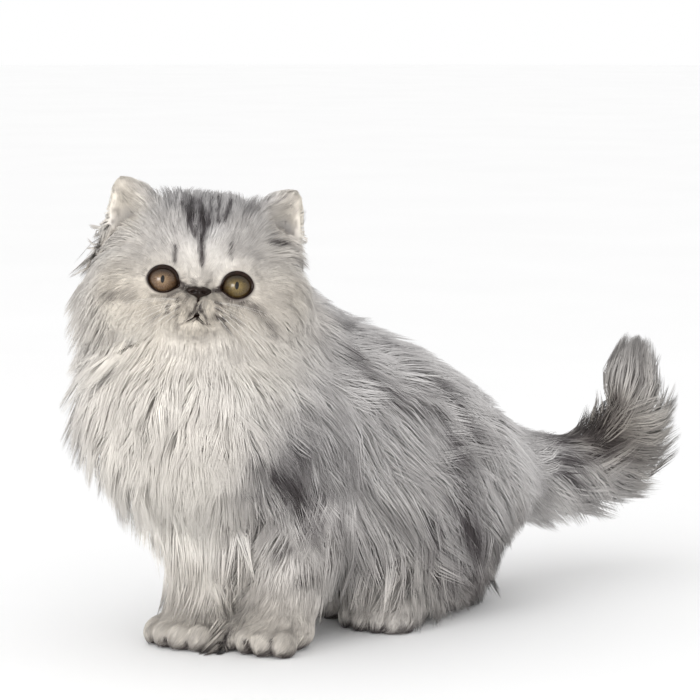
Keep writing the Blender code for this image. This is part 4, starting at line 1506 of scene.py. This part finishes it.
def make_lips(skin_tree):
    """The dark bare edges of the cleft and the lips."""
    lines = []
    for line, thick in zip(MOUTH_LINES, LIP_THICKNESS):
        rows = smooth_stations(line, 6)
        along = np.linspace(0, 1, len(rows))
        points = [on_skin(skin_tree, x, z, 1.4 * MM) for x, z in rows]
        lines.append((points, thick * CM * (1 - 0.7 * along**2)))
    return tubes("lips", lines)


def make_whiskers(skin_tree):
    """Fine whiskers in rows on the pads, lying back along the cheeks."""
    lines = []
    for side in (-1, 1):
        for row in range(WHISKER_ROWS):
            for place in range(WHISKERS_IN_ROW):
                x = side * (0.95 + 0.42 * place + 0.1 * row)
                z = -1.15 - 0.30 * row
                root = on_skin(skin_tree, x, z, 0)
                out = Vector((side * (1.0 + 0.1 * place), -0.30 + 0.2 * place, -0.10 - 0.28 * row))
                out = np.array((HEAD.to_3x3() @ out).normalized())
                droop = np.array((HEAD.to_3x3() @ Vector((0, 1.0, -0.5))).normalized())
                length = rng.uniform(32, 46) * MM
                along = np.linspace(0, 1, 10)[:, None]
                points = root + out * along * length + droop * along**2 * length * 0.30
                lines.append((points, WHISKER_THICKNESS_MM * MM * (1.05 - along.ravel())))
    return tubes("whiskers", lines, sides=5)


def add_camera():
    camera = add_object("camera", bpy.data.cameras.new("camera"))
    turned = Matrix((RIGHT, UP, -AHEAD)).transposed().to_4x4()
    camera.matrix_world = Matrix.Translation(CAMERA_PLACE) @ turned
    camera.data.lens = camera.data.sensor_width * FOCAL_PX / FRAME_PX
    bpy.context.scene.camera = camera


def add_softbox(name, towards, place, size, power):
    light = bpy.data.lights.new(name, "AREA")
    light.shape = "RECTANGLE"
    light.size, light.size_y = size
    light.energy = power
    box = add_object(name, light)
    box.location = place
    box.rotation_euler = (towards - place).to_track_quat("-Z", "Y").to_euler()
    return box


def add_studio():
    """A pale floor, a white surround and soft boxes."""
    bpy.ops.object.select_all(action="DESELECT")
    bpy.ops.mesh.primitive_circle_add(vertices=96, radius=14.0, fill_type="NGON")
    floor = bpy.context.object
    floor.name = "floor"
    floor.data.materials.append(floor_material())
    world = bpy.data.worlds.new("surround")
    world.use_nodes = True
    world.node_tree.nodes["Background"].inputs[0].default_value = (1, 1, 1, 1)
    world.node_tree.nodes["Background"].inputs[1].default_value = 1.0
    bpy.context.scene.world = world
    back = Vector((-AHEAD.x, -AHEAD.y, 0)).normalized()
    turned = back * math.cos(KEY_TURN) - RIGHT * math.sin(KEY_TURN)
    key = BODY_MIDDLE + turned * KEY_DISTANCE + Vector((0, 0, KEY_RISE))
    add_softbox("key", BODY_MIDDLE, key, KEY_SIZE, KEY_POWER)
    # The eyes mirror this box, and it lights nothing else
    catchlight = add_softbox("catchlight", BODY_MIDDLE, key, CATCHLIGHT_SIZE, CATCHLIGHT_POWER)
    catchlight.visible_diffuse = False
    low = BODY_MIDDLE + (back * LOW_AHEAD + RIGHT * LOW_ACROSS) + Vector((0, 0, LOW_RISE))
    fill = add_softbox("low_fill", BODY_MIDDLE - Vector((0, 0, LOW_DROP)), low, LOW_SIZE, LOW_POWER)
    fill.visible_glossy = False
    bpy.context.scene.view_settings.view_transform = "Standard"


def main():
    add_camera()
    add_studio()
    outside = outer_surface()
    skin = make_skin()
    hide = Hide(skin, outside)
    set_shades(skin.data, hide.dark, hide.warm)
    dress(skin, hide_material())
    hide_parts(*FLESH)
    hair = hair_material()
    for piece in make_coat(hide):
        piece.data.materials.append(hair)
        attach(piece, "root")
    skin_tree = BVHTree.FromObject(skin, bpy.context.evaluated_depsgraph_get())
    irises = {
        "left": iris_material("hazel_iris_left", "#8b784a", "#6c5c36", "#42331d"),
        "right": iris_material("hazel_iris_right", "#9c8365", "#7b634b", "#4f3b29"),
    }
    lid_skin = damp_skin_material("dark_lid_skin", "#150b06", "#24150d", 0.5, 0.4)
    for side, label in ((1, "left"), (-1, "right")):
        ball = make_eyeball(side, f"eyeball_{label}")
        dress(ball, irises[label])
        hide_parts(f"eye_{label}")
        dress(make_lid_rim(side, f"lid_rim_{label}", skin_tree), lid_skin)
    nose = make_nose()
    dress(nose, damp_skin_material("nose_leather", "#17100d", "#2a1f1a", 0.45, 0.5))
    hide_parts("nose")
    dress(make_lips(skin_tree), lid_skin)
    dress(make_whiskers(skin_tree), whisker_material())


main()
